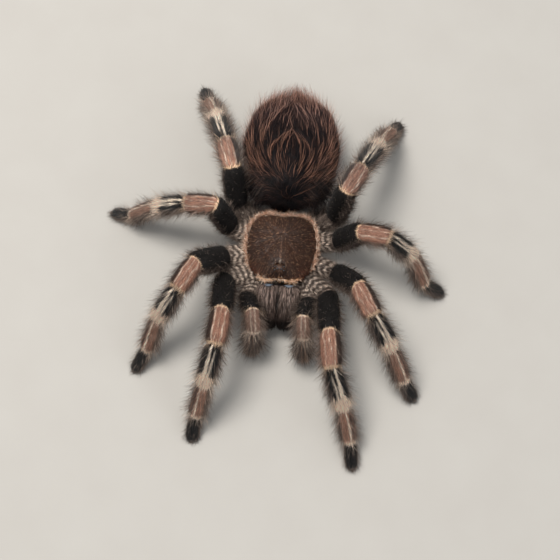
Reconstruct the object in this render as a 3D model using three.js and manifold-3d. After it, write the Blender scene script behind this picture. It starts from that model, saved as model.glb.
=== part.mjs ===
// A large ground tarantula standing at rest, life size, as a still museum model.
// Millimetres, +Z up. The head points to -Y and the animal's left side is +X. The feet stand on z = 0.
// Every solid is drawn out to the tips of its coat, and neighbouring solids keep a thin gap.
import * as THREE from "three";
import { mergeVertices } from "three/addons/utils/BufferGeometryUtils.js";
import Module from "manifold-3d";

const wasm = await Module();
wasm.setup();

// ---------------------------------------------------------------- driving dimensions

const GAP = 0.3; // clearance between neighbouring solids

const CARAPACE = {
  width: 25.8, // across the fringe of hair, at the widest point
  widestY: 8,
  rearY: 19.8,
  notchY: 18.9, // the rear edge dips in at the middle
  frontY: -6.6,
  cornerHalfWidth: 8, // half the width of the head's front edge
  rimZ: 11.5, // underside of the edge
  frontRise: 1.6, // how much higher the edge stands over the jaws
  rim: 0.7, // thickness of the edge
  dome: 3.2, // rise of the thorax above the edge
  headRise: 2.3, // further rise of the head
  headY: -0.5,
  headHalfWidth: 6,
  headHalfLength: 7,
};
const TUBERCLE = { y: -2.3, z: 16.9, width: 3.8, length: 3, height: 2.7 };
const EYES = [
  // half spacing, distance ahead of the tubercle's middle, radius: two rows of four
  { x: 0.62, ahead: 0.55, radius: 0.34 },
  { x: 1.42, ahead: 0.75, radius: 0.31 },
  { x: 0.95, ahead: -0.45, radius: 0.2 },
  { x: 1.5, ahead: -0.3, radius: 0.27 },
];
const UNDERSIDE = { width: 17.5, frontY: -4.2, rearY: 18, bottomZ: 4.4, topZ: 11.2 };
const UNDERSIDE_RINGS = [
  // share of the full outline, and height above the sternum
  [0.7, 0],
  [0.9, 0.8],
  [1, 3],
];
const MOUTHPARTS = { halfSpacing: 4.4, halfWidth: 2.7, halfHeight: 2, frontY: -8, backY: 2, z: 4.9 };
const CHELICERA = {
  x: 3.6,
  halfWidth: 3.45,
  baseY: -5,
  length: 14,
  height: 8,
  baseZ: 9.9,
  drop: 4, // the fang's end hangs this much lower than the base
  narrowing: 0.1, // share of the width lost by the fang's end
  thinning: 0.28, // share of the height lost by the fang's end
  turnIn: 0.25,
  fullness: 0.62, // below 1 squares the ball towards a deep box
};
const FANG = {
  length: 8.4,
  radius: 1.1,
  tipRadius: 0.16,
  sag: 1.7,
  baseX: 3.2,
  baseZ: 2.9,
  setBack: 2.2, // from the jaw's front to the fang's root
  tipX: 2.3,
  tipZ: 3.1,
};
const ABDOMEN = {
  x: 0.8,
  y: 40.8,
  z: 15.6,
  halfWidth: 16.9,
  halfLength: 20.4,
  halfHeight: 13,
  bellyShare: 0.96, // the belly is this much shallower than the back
  rearRise: 0.8,
};
const PEDICEL = { radius: 2.3, frontY: 18.4, z: 8.8, reach: 6 }; // it runs this far into the abdomen
const SPINNERET = { x: 1.7, y: 51, z: 6.6, length: 10.4, radius: 1.25, spread: 12, lift: 4 };

const PAD_DEPTH = 0.45; // how much of the round tip of each foot is flattened against the floor

// Joint-to-joint lengths of the four leg pairs and the palps, from the body outwards.
const LEG_LENGTHS = [
  { coxa: 11.9, femur: 21, patella: 12.5, tibia: 15.1, metatarsus: 13.1, tarsus: 8.8 },
  { coxa: 11.8, femur: 18.5, patella: 11.1, tibia: 13.6, metatarsus: 13.3, tarsus: 9 },
  { coxa: 11.1, femur: 16.2, patella: 9.8, tibia: 12, metatarsus: 14.1, tarsus: 8.7 },
  { coxa: 11.5, femur: 21.4, patella: 10.8, tibia: 16.2, metatarsus: 17.2, tarsus: 8.9 },
];
const PALP_LENGTHS = { coxa: 9.3, femur: 9.4, patella: 7.4, tibia: 8.1, tarsus: 6.8 };

// Where each pair's coxa starts under the carapace: half spacing, place along the body, height.
const LEG_ROOTS = [
  [6.2, -0.8, 7.3],
  [7, 4.6, 7.4],
  [6.6, 10.8, 7.4],
  [6.2, 15.2, 7.2],
];
const PALP_ROOT = [5.4, -1.6, 5.5];

// Half sizes of each segment at its middle, out to the coat: sideways, up and down; and how much
// narrower it is at its near and far joint.
const SEGMENT_SHAPES = {
  coxa: { side: 3.5, up: 3.3, down: 3.3, near: 0.95, far: 0.95 },
  femur: { side: 3.7, up: 3.9, down: 3.6, near: 0.84, far: 0.88 },
  patella: { side: 3.5, up: 3.6, down: 3.2, near: 0.84, far: 0.92 },
  tibia: { side: 3.4, up: 3.3, down: 3.3, near: 0.86, far: 0.86 },
  metatarsus: { side: 2.9, up: 2.8, down: 2.8, near: 0.9, far: 0.86 },
  tarsus: { side: 2.3, up: 2.1, down: 2, near: 0.95, far: 0.9 },
};
const PALP_SCALE = 0.77; // the palps' segments are this much slimmer than a leg's

// Each leg's pose in degrees, one value for each segment from the coxa outwards. Headings are compass
// directions seen from above, 0 towards +X and 90 towards +Y, and lifts are slopes up from level. The
// last segment but one has no lift of its own: it slopes as it must for the foot to reach the floor.
const POSES = {
  right_leg_1: { headings: [195, 272, 266, 254, 250, 264], lifts: [11, 40, 16, -44, -33] },
  right_leg_2: { headings: [184, 227, 245, 230, 244, 235], lifts: [10, 50, 14, -45, -39] },
  right_leg_3: { headings: [164, 161, 176, 177, 174, 165], lifts: [5, 71, -12, -29, -29] },
  right_leg_4: { headings: [146, 104, 108, 110, 109, 110], lifts: [2, 74, -12, -28, -32] },
  left_leg_1: { headings: [-33, -86, -83, -66, -69, -82], lifts: [10, 36, 13, -44, -23] },
  left_leg_2: { headings: [-20, -52, -63, -50, -57, -44], lifts: [10.5, 48, 13, -40, -46] },
  left_leg_3: { headings: [2, -11, -16, -17, -44, -9], lifts: [8, 61, 20, -44, -38] },
  left_leg_4: { headings: [25, 19, 64, 65, 69, 61], lifts: [5, 82, -14, -28, -42] },
  right_palp: { headings: [235, 291, 275, 260, 276], lifts: [17, 34, 5, -97] },
  left_palp: { headings: [-62, -97, -86, -84, -89], lifts: [15, 35, 5, -101] },
};

const SIDES = [
  ["right", -1],
  ["left", 1],
];

const COLOURS = {
  velvet: 0x17120f, // black hair of the femora
  stripe: 0x8a6a58, // pinkish brown of the patellae and tibiae
  shell: 0x33241c, // dark brown of the carapace
  jaw: 0x544640,
  horn: 0x140d0a, // fangs
  belly: 0x2a1c19, // abdomen
  foot: 0x201c1c,
  eye: 0x08080a,
};

// ---------------------------------------------------------------- solids

const degrees = THREE.MathUtils.degToRad;

function finish(colour, roughness = 0.9) {
  return new THREE.MeshStandardMaterial({ color: colour, roughness, metalness: 0 });
}

const model = new THREE.Group();

function addPart(name, geometry, material) {
  geometry.computeVertexNormals();
  const mesh = new THREE.Mesh(geometry, material);
  mesh.name = name;
  model.add(mesh);
}

function toSolid(geometry) {
  const bare = geometry.clone();
  bare.deleteAttribute("normal");
  bare.deleteAttribute("uv");
  const merged = mergeVertices(bare, 1e-4);
  const vertProperties = merged.attributes.position.array;
  const triVerts = new Uint32Array(merged.index.array);
  return new wasm.Manifold(new wasm.Mesh({ numProp: 3, vertProperties, triVerts }));
}

function toGeometry(solid) {
  const { vertProperties, triVerts } = solid.getMesh();
  const geometry = new THREE.BufferGeometry();
  geometry.setAttribute("position", new THREE.BufferAttribute(vertProperties, 3));
  geometry.setIndex(new THREE.BufferAttribute(triVerts, 1));
  return geometry;
}

function joined(geometries) {
  return toGeometry(geometries.map(toSolid).reduce((whole, piece) => whole.add(piece)));
}

function cut(geometry, tool) {
  return toGeometry(toSolid(geometry).subtract(toSolid(tool)));
}

// A closed skin over a row of rings with equal numbers of points, each running anticlockwise as seen
// from the last ring's end. Both ends are closed by a fan.
function loft(rings) {
  const sides = rings[0].length;
  const points = rings.flat();
  const faces = [];
  for (let ring = 0; ring < rings.length - 1; ring++) {
    for (let side = 0; side < sides; side++) {
      const a = ring * sides + side;
      const b = ring * sides + ((side + 1) % sides);
      faces.push(a, b, b + sides, a, b + sides, a + sides);
    }
  }
  const lastRing = (rings.length - 1) * sides;
  const startCentre = points.push(middleOf(rings[0])) - 1;
  const endCentre = points.push(middleOf(rings.at(-1))) - 1;
  for (let side = 0; side < sides; side++) {
    const next = (side + 1) % sides;
    faces.push(startCentre, next, side);
    faces.push(endCentre, lastRing + side, lastRing + next);
  }
  return new THREE.BufferGeometry().setFromPoints(points).setIndex(faces);
}

function middleOf(ring) {
  const sum = ring.reduce((total, point) => total.add(point), new THREE.Vector3());
  return sum.divideScalar(ring.length);
}

// A ball whose every point is moved by place(x, y, z); its poles lie on Y.
function shapedBall(around, along, place) {
  const geometry = new THREE.SphereGeometry(1, around, along);
  const position = geometry.attributes.position;
  const point = new THREE.Vector3();
  for (let i = 0; i < position.count; i++) {
    point.fromBufferAttribute(position, i);
    position.setXYZ(i, ...place(point.x, point.y, point.z));
  }
  return geometry;
}

// ---------------------------------------------------------------- limbs

const LIMB_SIDES = 10;
const SHOULDER = 0.88; // how far a segment draws in right at a joint
const STATIONS = [
  // place along the segment, and how far it has drawn in there
  [0, SHOULDER],
  [0.13, 1],
  [0.5, 1],
  [0.87, 1],
  [1, SHOULDER],
];
const FOOT_STATIONS = [
  [0, SHOULDER],
  [0.15, 1],
  [0.55, 1],
  [0.86, 0.95],
  [0.96, 0.8],
  [1, 0.5],
];
const COXA_STATIONS = [
  [0, 1],
  [0.6, 1],
  [1, SHOULDER],
];
const MITRE_REACH = 0.4; // share of a segment over which its rings turn from the joint's plane
const TAPER_POWER = 1.6; // how late a segment narrows towards its joints

function directionOf(heading, lift) {
  const flat = Math.cos(degrees(lift));
  return new THREE.Vector3(
    flat * Math.cos(degrees(heading)),
    flat * Math.sin(degrees(heading)),
    Math.sin(degrees(lift)),
  );
}

// One segment: its ends, its direction, and its own sideways and upward axes.
function makeSegment(name, start, length, heading, lift) {
  const direction = directionOf(heading, lift);
  const end = start.clone().addScaledVector(direction, length);
  const side = new THREE.Vector3(-Math.sin(degrees(heading)), Math.cos(degrees(heading)), 0);
  const up = side.clone().cross(direction).negate();
  return { name, start, end, direction, side, up };
}

// How high a foot's axis ends above the floor when its tip presses PAD_DEPTH into it.
function footHeight(length, lift, shape) {
  const foot = makeSegment("tarsus", new THREE.Vector3(), length, 0, lift);
  const solid = segmentSolid(foot, shape, foot.direction, foot.direction, FOOT_STATIONS, 0, 0);
  solid.computeBoundingBox();
  return foot.end.z - solid.boundingBox.min.z - PAD_DEPTH;
}

// The segments of a limb from the body outwards, set out so that the foot reaches the floor.
function limbSegments(root, lengths, { headings, lifts }, scale) {
  const names = Object.keys(lengths);
  const footLift = lifts.at(-1);
  const shape = scaledShape(SEGMENT_SHAPES.tarsus, scale);
  const rises = names.slice(0, -2).map((name, i) => lengths[name] * Math.sin(degrees(lifts[i])));
  const shinTop = root.z + rises.reduce((sum, rise) => sum + rise, 0);
  const footRise = lengths.tarsus * Math.sin(degrees(footLift));
  const ankle = footHeight(lengths.tarsus, footLift, shape) - footRise;
  const shinLift = THREE.MathUtils.radToDeg(Math.asin((ankle - shinTop) / lengths[names.at(-2)]));
  const slopes = [...lifts.slice(0, -1), shinLift, footLift];

  let start = root;
  return names.map((name, i) => {
    const segment = makeSegment(name, start, lengths[name], headings[i], slopes[i]);
    start = segment.end;
    return segment;
  });
}

// The plane in which two segments meet halves the bend between them.
function meetingPlane(before, after) {
  return before.direction.clone().add(after.direction).normalize();
}

function segmentRing(segment, shape, place, size, plane) {
  const centre = segment.start.clone().lerp(segment.end, place);
  const ring = [];
  for (let i = 0; i < LIMB_SIDES; i++) {
    const angle = (2 * Math.PI * i) / LIMB_SIDES;
    const rise = Math.sin(angle);
    const offset = segment.side.clone().multiplyScalar(Math.cos(angle) * shape.side * size);
    offset.addScaledVector(segment.up, rise * (rise > 0 ? shape.up : shape.down) * size);
    const slide = -offset.dot(plane) / segment.direction.dot(plane);
    ring.push(centre.clone().add(offset).addScaledVector(segment.direction, slide));
  }
  return ring;
}

function segmentSolid(segment, shape, nearPlane, farPlane, stations, startGap, endGap) {
  const length = segment.start.distanceTo(segment.end);
  const rings = stations.map(([place, drawnIn]) => {
    const startShift = startGap / (2 * segment.direction.dot(nearPlane) * length);
    const endShift = endGap / (2 * segment.direction.dot(farPlane) * length);
    const shifted = startShift + place * (1 - startShift - endShift);
    const nearTurn = Math.max(0, 1 - place / MITRE_REACH);
    const farTurn = Math.max(0, 1 - (1 - place) / MITRE_REACH);
    const plane = segment.direction.clone().multiplyScalar(1 - nearTurn - farTurn);
    plane.addScaledVector(nearPlane, nearTurn).addScaledVector(farPlane, farTurn).normalize();
    const taper = place < 0.5 ? shape.near : shape.far;
    const swell = 1 - (1 - taper) * Math.abs(2 * place - 1) ** TAPER_POWER;
    return segmentRing(segment, shape, shifted, swell * drawnIn, plane);
  });
  return loft(rings);
}

function flattenUnderFoot(geometry) {
  const position = geometry.attributes.position;
  for (let i = 0; i < position.count; i++) position.setZ(i, Math.max(0, position.getZ(i)));
  return geometry;
}

function scaledShape(shape, scale) {
  return { ...shape, side: shape.side * scale, up: shape.up * scale, down: shape.down * scale };
}

const SEGMENT_COLOURS = {
  femur: COLOURS.velvet,
  patella: COLOURS.stripe,
  tibia: COLOURS.stripe,
  metatarsus: COLOURS.stripe,
  tarsus: COLOURS.foot,
};

// Adds one limb's segments to the model and gives back its coxa, which belongs to the body.
function addLimb(limbName, root, lengths, scale) {
  const segments = limbSegments(root, lengths, POSES[limbName], scale);
  let coxa;
  segments.forEach((segment, i) => {
    const shape = scaledShape(SEGMENT_SHAPES[segment.name], scale);
    const isFoot = i === segments.length - 1;
    const nearPlane = i ? meetingPlane(segments[i - 1], segment) : segment.direction;
    const farPlane = isFoot ? segment.direction : meetingPlane(segment, segments[i + 1]);
    const stations = isFoot ? FOOT_STATIONS : i ? STATIONS : COXA_STATIONS;
    const startGap = i ? GAP : 0;
    const endGap = isFoot ? 0 : GAP;
    const solid = segmentSolid(segment, shape, nearPlane, farPlane, stations, startGap, endGap);
    if (segment.name === "coxa") {
      coxa = solid;
      return;
    }
    if (isFoot) flattenUnderFoot(solid);
    addPart(`${limbName}_${segment.name}`, solid, finish(SEGMENT_COLOURS[segment.name]));
  });
  return coxa;
}

function allLimbs() {
  const coxae = [];
  for (const [sideName, side] of SIDES) {
    LEG_ROOTS.forEach(([x, y, z], pair) => {
      const root = new THREE.Vector3(side * x, y, z);
      coxae.push(addLimb(`${sideName}_leg_${pair + 1}`, root, LEG_LENGTHS[pair], 1));
    });
    const [x, y, z] = PALP_ROOT;
    const root = new THREE.Vector3(side * x, y, z);
    coxae.push(addLimb(`${sideName}_palp`, root, PALP_LENGTHS, PALP_SCALE));
  }
  return coxae;
}

// ---------------------------------------------------------------- body

// Half of the carapace's outline, from the middle of its front edge round to the notch at the rear.
function carapaceHalfOutline() {
  const half = CARAPACE.width / 2;
  const corner = CARAPACE.cornerHalfWidth;
  const outline = new THREE.Path();
  outline.moveTo(0, CARAPACE.frontY + 0.5);
  outline.quadraticCurveTo(corner * 0.55, CARAPACE.frontY - 0.5, corner, CARAPACE.frontY + 0.9);
  outline.bezierCurveTo(half * 0.86, -3, half, 2, half, CARAPACE.widestY);
  outline.bezierCurveTo(half, 14, half * 0.82, CARAPACE.rearY, half * 0.42, CARAPACE.rearY);
  outline.quadraticCurveTo(half * 0.16, CARAPACE.rearY, 0, CARAPACE.notchY);
  return outline.getSpacedPoints(14);
}

function carapaceOutline() {
  const half = carapaceHalfOutline();
  const mirrored = half.slice(1, -1).map((point) => new THREE.Vector2(-point.x, point.y));
  return [...half, ...mirrored.reverse()];
}

function carapaceRimZ(y) {
  const forward = THREE.MathUtils.smoothstep(-y, -2, -CARAPACE.frontY);
  return CARAPACE.rimZ + CARAPACE.frontRise * forward;
}

// Height of the domed top at a point whose distance from the middle is a share of the outline's.
function carapaceTopZ(x, y, share) {
  const { headY, headHalfWidth, headHalfLength } = CARAPACE;
  const head = Math.exp(-((x / headHalfWidth) ** 2) - ((y - headY) / headHalfLength) ** 2);
  const dome = CARAPACE.dome * (1 - share ** 2.6);
  return carapaceRimZ(y) + CARAPACE.rim + dome + CARAPACE.headRise * head * (1 - share ** 6);
}

function carapaceSolid() {
  const outline = carapaceOutline();
  const middle = new THREE.Vector2(0, CARAPACE.widestY);
  const layer = (share, heightAt) =>
    outline.map((point) => {
      const place = point.clone().sub(middle).multiplyScalar(share).add(middle);
      return new THREE.Vector3(place.x, place.y, heightAt(place.x, place.y));
    });
  const underside = [0.6, 0.97].map((share) => layer(share, (x, y) => carapaceRimZ(y)));
  const edge = layer(1, (x, y) => carapaceRimZ(y) + CARAPACE.rim * 0.6);
  const top = [0.95, 0.84, 0.68, 0.48, 0.26, 0.1].map((share) =>
    layer(share, (x, y) => carapaceTopZ(x, y, share)),
  );
  return loft([...underside, edge, ...top]);
}

// The low mound that carries the eyes, grown by a clearance.
function tubercleBall(grow) {
  return shapedBall(14, 8, (x, y, z) => [
    x * (TUBERCLE.width / 2 + grow),
    TUBERCLE.y + y * (TUBERCLE.length / 2 + grow),
    TUBERCLE.z + z * (TUBERCLE.height / 2 + grow),
  ]);
}

function tubercleSolid() {
  const pieces = [tubercleBall(0)];
  for (const eye of EYES) {
    for (const side of [-1, 1]) {
      const across = (side * eye.x) / (TUBERCLE.width / 2);
      const along = -eye.ahead / (TUBERCLE.length / 2);
      const rise = Math.sqrt(Math.max(0, 1 - across ** 2 - along ** 2));
      const ball = new THREE.SphereGeometry(eye.radius, 7, 5);
      ball.translate(side * eye.x, TUBERCLE.y - eye.ahead, TUBERCLE.z + (rise * TUBERCLE.height) / 2);
      pieces.push(ball);
    }
  }
  return joined(pieces);
}

// The sternum and the body above it, which the carapace covers.
function trunkSolid() {
  const { frontY, rearY, bottomZ, topZ } = UNDERSIDE;
  const middleY = (frontY + rearY) / 2;
  const outline = new THREE.EllipseCurve(0, middleY, UNDERSIDE.width / 2, rearY - middleY);
  const around = outline.getPoints(24).slice(0, -1);
  const ring = (share, z) =>
    around.map((point) => {
      const y = middleY + (point.y - middleY) * share;
      return new THREE.Vector3(point.x * share, y, z);
    });
  const lower = UNDERSIDE_RINGS.map(([share, height]) => ring(share, bottomZ + height));
  return loft([...lower, ring(1, topZ)]);
}

// The palps' broad coxae, which flank the mouth.
function mouthpartSolid(side) {
  const { halfSpacing, halfWidth, halfHeight, frontY, backY } = MOUTHPARTS;
  return shapedBall(12, 8, (x, y, z) => [
    side * halfSpacing + x * halfWidth,
    (frontY + backY) / 2 + (y * (backY - frontY)) / 2,
    MOUTHPARTS.z + z * halfHeight,
  ]);
}

// One jaw: a deep rounded box that swells above its base and slopes down to the fang.
function cheliceraSolid(side) {
  return shapedBall(16, 10, (x, y, z) => {
    const along = (1 - y) / 2; // 0 at the base, 1 at the fang's end
    const thick = Math.hypot(x, z);
    const fullness = thick > 1e-3 ? thick ** (CHELICERA.fullness - 1) : 1;
    const across = x * fullness * CHELICERA.halfWidth * (1 - CHELICERA.narrowing * along);
    const rise = (z * fullness * CHELICERA.height * (1 - CHELICERA.thinning * along)) / 2;
    return [
      side * (CHELICERA.x - CHELICERA.turnIn * along) + across,
      CHELICERA.baseY - CHELICERA.length * along,
      CHELICERA.baseZ - CHELICERA.drop * along ** 2 + rise,
    ];
  });
}

// A fang folded back under its jaw, bowed downwards.
function fangSolid(side) {
  const baseY = CHELICERA.baseY - CHELICERA.length + FANG.setBack;
  const base = new THREE.Vector3(side * FANG.baseX, baseY, FANG.baseZ);
  const tip = new THREE.Vector3(side * FANG.tipX, baseY + FANG.length, FANG.tipZ);
  const bow = base.clone().lerp(tip, 0.45);
  bow.z -= FANG.sag;
  const spine = new THREE.QuadraticBezierCurve3(base, bow, tip);
  const across = new THREE.Vector3(1, 0, 0);
  const sides = 8;
  const steps = 6;
  const rings = [];
  for (let step = 0; step <= steps; step++) {
    const share = step / steps;
    const radius = THREE.MathUtils.lerp(FANG.radius, FANG.tipRadius, share ** 1.2);
    const up = across.clone().cross(spine.getTangent(share)).normalize();
    const ring = [];
    for (let i = 0; i < sides; i++) {
      const angle = (2 * Math.PI * i) / sides;
      const point = spine.getPoint(share);
      point.addScaledVector(across, Math.cos(angle) * radius);
      ring.push(point.addScaledVector(up, -Math.sin(angle) * radius));
    }
    rings.push(ring);
  }
  return loft(rings);
}

// The abdomen's own form, grown by a clearance.
function abdomenBall(grow) {
  return shapedBall(24, 16, (x, y, z) => {
    const depth = (ABDOMEN.halfHeight + grow) * (z < 0 ? ABDOMEN.bellyShare : 1);
    return [
      ABDOMEN.x + x * (ABDOMEN.halfWidth + grow),
      ABDOMEN.y + y * (ABDOMEN.halfLength + grow),
      ABDOMEN.z + z * depth + ABDOMEN.rearRise * y,
    ];
  });
}

// The abdomen with the thin stalk that joins it to the thorax.
function abdomenSolid() {
  const stalkLength = ABDOMEN.y - ABDOMEN.halfLength - PEDICEL.frontY + PEDICEL.reach;
  const stalk = new THREE.CylinderGeometry(PEDICEL.radius, PEDICEL.radius, stalkLength, 12);
  stalk.translate(0, PEDICEL.frontY + stalkLength / 2, PEDICEL.z);
  return joined([abdomenBall(0), stalk]);
}

// A spinneret grows back from the underside of the abdomen's rear end.
function spinneretSolid(side) {
  const { radius, length } = SPINNERET;
  const profile = [
    new THREE.Vector2(0, 0),
    new THREE.Vector2(radius, 0.1 * length),
    new THREE.Vector2(radius, 0.6 * length),
    new THREE.Vector2(radius * 0.6, 0.9 * length),
    new THREE.Vector2(0, length),
  ];
  const finger = new THREE.LatheGeometry(profile, 10);
  finger.rotateX(degrees(SPINNERET.lift));
  finger.rotateZ(degrees(-side * SPINNERET.spread));
  finger.translate(side * SPINNERET.x + ABDOMEN.x, SPINNERET.y, SPINNERET.z);
  return cut(finger, abdomenBall(GAP));
}

function addBody(coxae) {
  const mouthparts = [-1, 1].map(mouthpartSolid);
  const underside = joined([trunkSolid(), ...mouthparts, ...coxae]);
  addPart("cephalothorax_underside", underside, finish(COLOURS.jaw));
  addPart("carapace", cut(carapaceSolid(), tubercleBall(GAP)), finish(COLOURS.shell, 0.75));
  addPart("eye_tubercle", tubercleSolid(), finish(COLOURS.eye, 0.2));
  addPart("abdomen", abdomenSolid(), finish(COLOURS.belly));
  for (const [sideName, side] of SIDES) {
    addPart(`${sideName}_chelicera`, cheliceraSolid(side), finish(COLOURS.jaw));
    addPart(`${sideName}_fang`, fangSolid(side), finish(COLOURS.horn, 0.25));
    addPart(`${sideName}_spinneret`, spinneretSolid(side), finish(COLOURS.belly));
  }
}

addBody(allLimbs());

// The model's origin is the middle of its footprint.
const bounds = new THREE.Box3().setFromObject(model, true);
const centre = bounds.getCenter(new THREE.Vector3());
model.position.set(-centre.x, -centre.y, 0);

export default model;
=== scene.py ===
"""A large ground tarantula, life size, set standing as a museum model.

One smooth skin carries the legs, palps, underside, abdomen and spinnerets. The carapace, eyes, jaws,
fangs and claws are pieces of their own. Every hair is a thin closed-sided spike of mesh, grown from
the surface under it and coloured by the same markings as the skin.
"""

import math

import bpy
import numpy as np
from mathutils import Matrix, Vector


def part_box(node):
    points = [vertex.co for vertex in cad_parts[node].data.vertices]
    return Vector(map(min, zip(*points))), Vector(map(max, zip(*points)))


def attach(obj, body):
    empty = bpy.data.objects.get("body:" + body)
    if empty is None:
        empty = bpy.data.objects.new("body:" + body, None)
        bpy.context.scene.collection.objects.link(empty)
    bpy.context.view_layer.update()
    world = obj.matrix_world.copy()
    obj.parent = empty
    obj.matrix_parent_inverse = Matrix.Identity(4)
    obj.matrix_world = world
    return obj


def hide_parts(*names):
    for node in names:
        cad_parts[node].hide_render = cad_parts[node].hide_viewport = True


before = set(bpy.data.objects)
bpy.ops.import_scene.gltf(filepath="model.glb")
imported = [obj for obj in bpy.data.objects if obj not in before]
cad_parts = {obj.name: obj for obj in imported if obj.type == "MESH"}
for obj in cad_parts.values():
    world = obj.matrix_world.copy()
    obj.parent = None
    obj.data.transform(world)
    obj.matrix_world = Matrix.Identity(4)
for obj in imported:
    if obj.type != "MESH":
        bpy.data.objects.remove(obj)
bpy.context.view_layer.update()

MM = 0.001
SKYWARD = np.array([0.0, 0.0, 1.0])


# ---- colours


def tone(code):
    """A colour given as six hexadecimal digits, as linear light."""
    channels = np.array([int(code[i : i + 2], 16) for i in (0, 2, 4)]) / 255
    return np.where(channels <= 0.04045, channels / 12.92, ((channels + 0.055) / 1.055) ** 2.4)


VELVET_BLACK = tone("0f0c0b")
SOOT = tone("26211e")
ASH = tone("69594f")
PALE_ASH = tone("ad998b")
CREAM = tone("fdebd6")
IVORY = tone("fbe3cc")
PEACH = tone("ab816c")
ROSE_BROWN = tone("9c7664")
TAN = tone("dca888")
GOLD_TAN = tone("d9a675")
KNEE_GOLD = tone("e3c3a3")
SHELL_BROWN = tone("4f3527")
SHELL_DARK = tone("28160d")
RUST = tone("a4553a")
RED_BROWN = tone("8a5a48")
PLUM_BLACK = tone("151114")
PLUM_BROWN = tone("2a1f22")
HORN_BLACK = tone("0d0807")


# ---- finishes


class Value:
    """A socket of a finish's nodes that can stand in a sum like a number."""

    def __init__(self, finish, socket):
        self.finish = finish
        self.socket = socket

    def maths(self, operation, first, second):
        return self.finish.node("Math", {"operation": operation}, {0: first, 1: second})

    def __add__(self, other):
        return self.maths("ADD", self, other)

    __radd__ = __add__

    def __sub__(self, other):
        return self.maths("SUBTRACT", self, other)

    def __rsub__(self, other):
        return self.maths("SUBTRACT", other, self)

    def __mul__(self, other):
        return self.maths("MULTIPLY", self, other)

    __rmul__ = __mul__

    def __pow__(self, other):
        return self.maths("POWER", self, other)


class Finish:
    """A material in the making, around one Principled shader."""

    def __init__(self, name, constants):
        self.material = bpy.data.materials.new(name)
        self.material.use_nodes = True
        self.tree = self.material.node_tree
        self.shader = self.tree.nodes["Principled BSDF"]
        for socket, value in constants.items():
            self.shader.inputs[socket].default_value = value

    def node(self, kind, settings=None, values=None, output=0):
        made = self.tree.nodes.new("ShaderNode" + kind)
        for setting, value in (settings or {}).items():
            setattr(made, setting, value)
        for socket, value in (values or {}).items():
            self.join(made.inputs[socket], value)
        return Value(self, made.outputs[output])

    def join(self, socket, value):
        if isinstance(value, Value):
            self.tree.links.new(value.socket, socket)
        else:
            socket.default_value = value

    def feed(self, socket, value):
        self.join(self.shader.inputs[socket], value)

    def blend(self, first, second, share):
        """A colour between two tones, by a share that varies."""
        values = {0: share, 6: (*first, 1.0), 7: (*second, 1.0)}
        return self.node("Mix", {"data_type": "RGBA"}, values, 2)

    def shaded(self, colour, level):
        """A colour made darker or lighter by a level that varies."""
        return self.node("VectorMath", {"operation": "SCALE"}, {0: colour, "Scale": level})

    def mark(self, name, output="Fac"):
        """What the mesh itself carries under a name."""
        return self.node("Attribute", {"attribute_name": name}, None, output)

    def noise(self, scale, detail=2.0, roughness=0.5):
        place = self.node("TexCoord", None, None, "Object")
        values = {"Vector": place, "Scale": scale, "Detail": detail, "Roughness": roughness}
        return self.node("TexNoise", None, values, "Fac")

    def bump(self, height, strength, distance):
        values = {"Height": height, "Strength": strength, "Distance": distance}
        self.feed("Normal", self.node("Bump", None, values, "Normal"))


def hair_finish(name, roughness=0.55, root=0.35, tip=1.0, sheen=0.0):
    """Hair in its markings' colour: dark at the root as painted shade, and lighter or darker from hair to
    hair.
    """
    constants = {"Roughness": roughness, "Specular IOR Level": 0.22, "Sheen Weight": sheen}
    finish = Finish(name, constants)
    # Painted shade: the level rises from the root to the tip of each hair, times a tone that varies from
    # hair to hair.
    level = (root + (tip - root) * finish.mark("along") ** 0.7) * (0.4 + 1.2 * finish.mark("shade"))
    finish.feed("Base Color", finish.shaded(finish.mark("marking", "Color"), level))
    return finish.material


def skin_finish():
    """The skin under the coat: the coat's own markings, darkened as painted shade of the coat, over a fine
    pebbled grain.
    """
    finish = Finish("skin", {"Roughness": 0.6, "Specular IOR Level": 0.3})
    grain = finish.noise(2600.0, 3.0)
    # Painted shade: the markings are darkened to stand for the coat's shadow, and varied by the grain.
    colour = finish.shaded(finish.mark("marking", "Color"), 0.6 + 0.4 * grain)
    finish.feed("Base Color", colour)
    finish.bump(grain, 0.4, 0.1 * MM)
    return finish.material


def shell_finish():
    """Dark brown shell, duller in places, by a fine grain."""
    finish = Finish("carapace_shell", {"Specular IOR Level": 0.4})
    grain = finish.noise(1500.0, 4.0)
    broad = finish.noise(180.0)
    colour = finish.blend(SHELL_DARK, SHELL_BROWN, broad)
    finish.feed("Base Color", finish.shaded(colour, 0.6 + 0.7 * grain))
    finish.feed("Roughness", 0.4 + 0.25 * grain)
    finish.bump(grain, 0.3, 0.08 * MM)
    return finish.material


def horn_finish():
    """Fangs and claws: near-black horn, in redder streaks."""
    finish = Finish("horn", {"Coat Weight": 0.15, "Coat Roughness": 0.2})
    streaks = finish.noise(900.0, 3.0)
    finish.feed("Base Color", finish.blend(HORN_BLACK, tone("2a120b"), streaks))
    finish.feed("Roughness", 0.34 + 0.14 * streaks)
    return finish.material


def eye_finish():
    """A wet-looking dark eye."""
    finish = Finish("eye", {"Coat Weight": 1.0, "Coat Roughness": 0.03, "Roughness": 0.12})
    cloud = finish.noise(1200.0, 1.0)
    finish.feed("Base Color", finish.blend(tone("060608"), tone("23262e"), cloud))
    return finish.material


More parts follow.
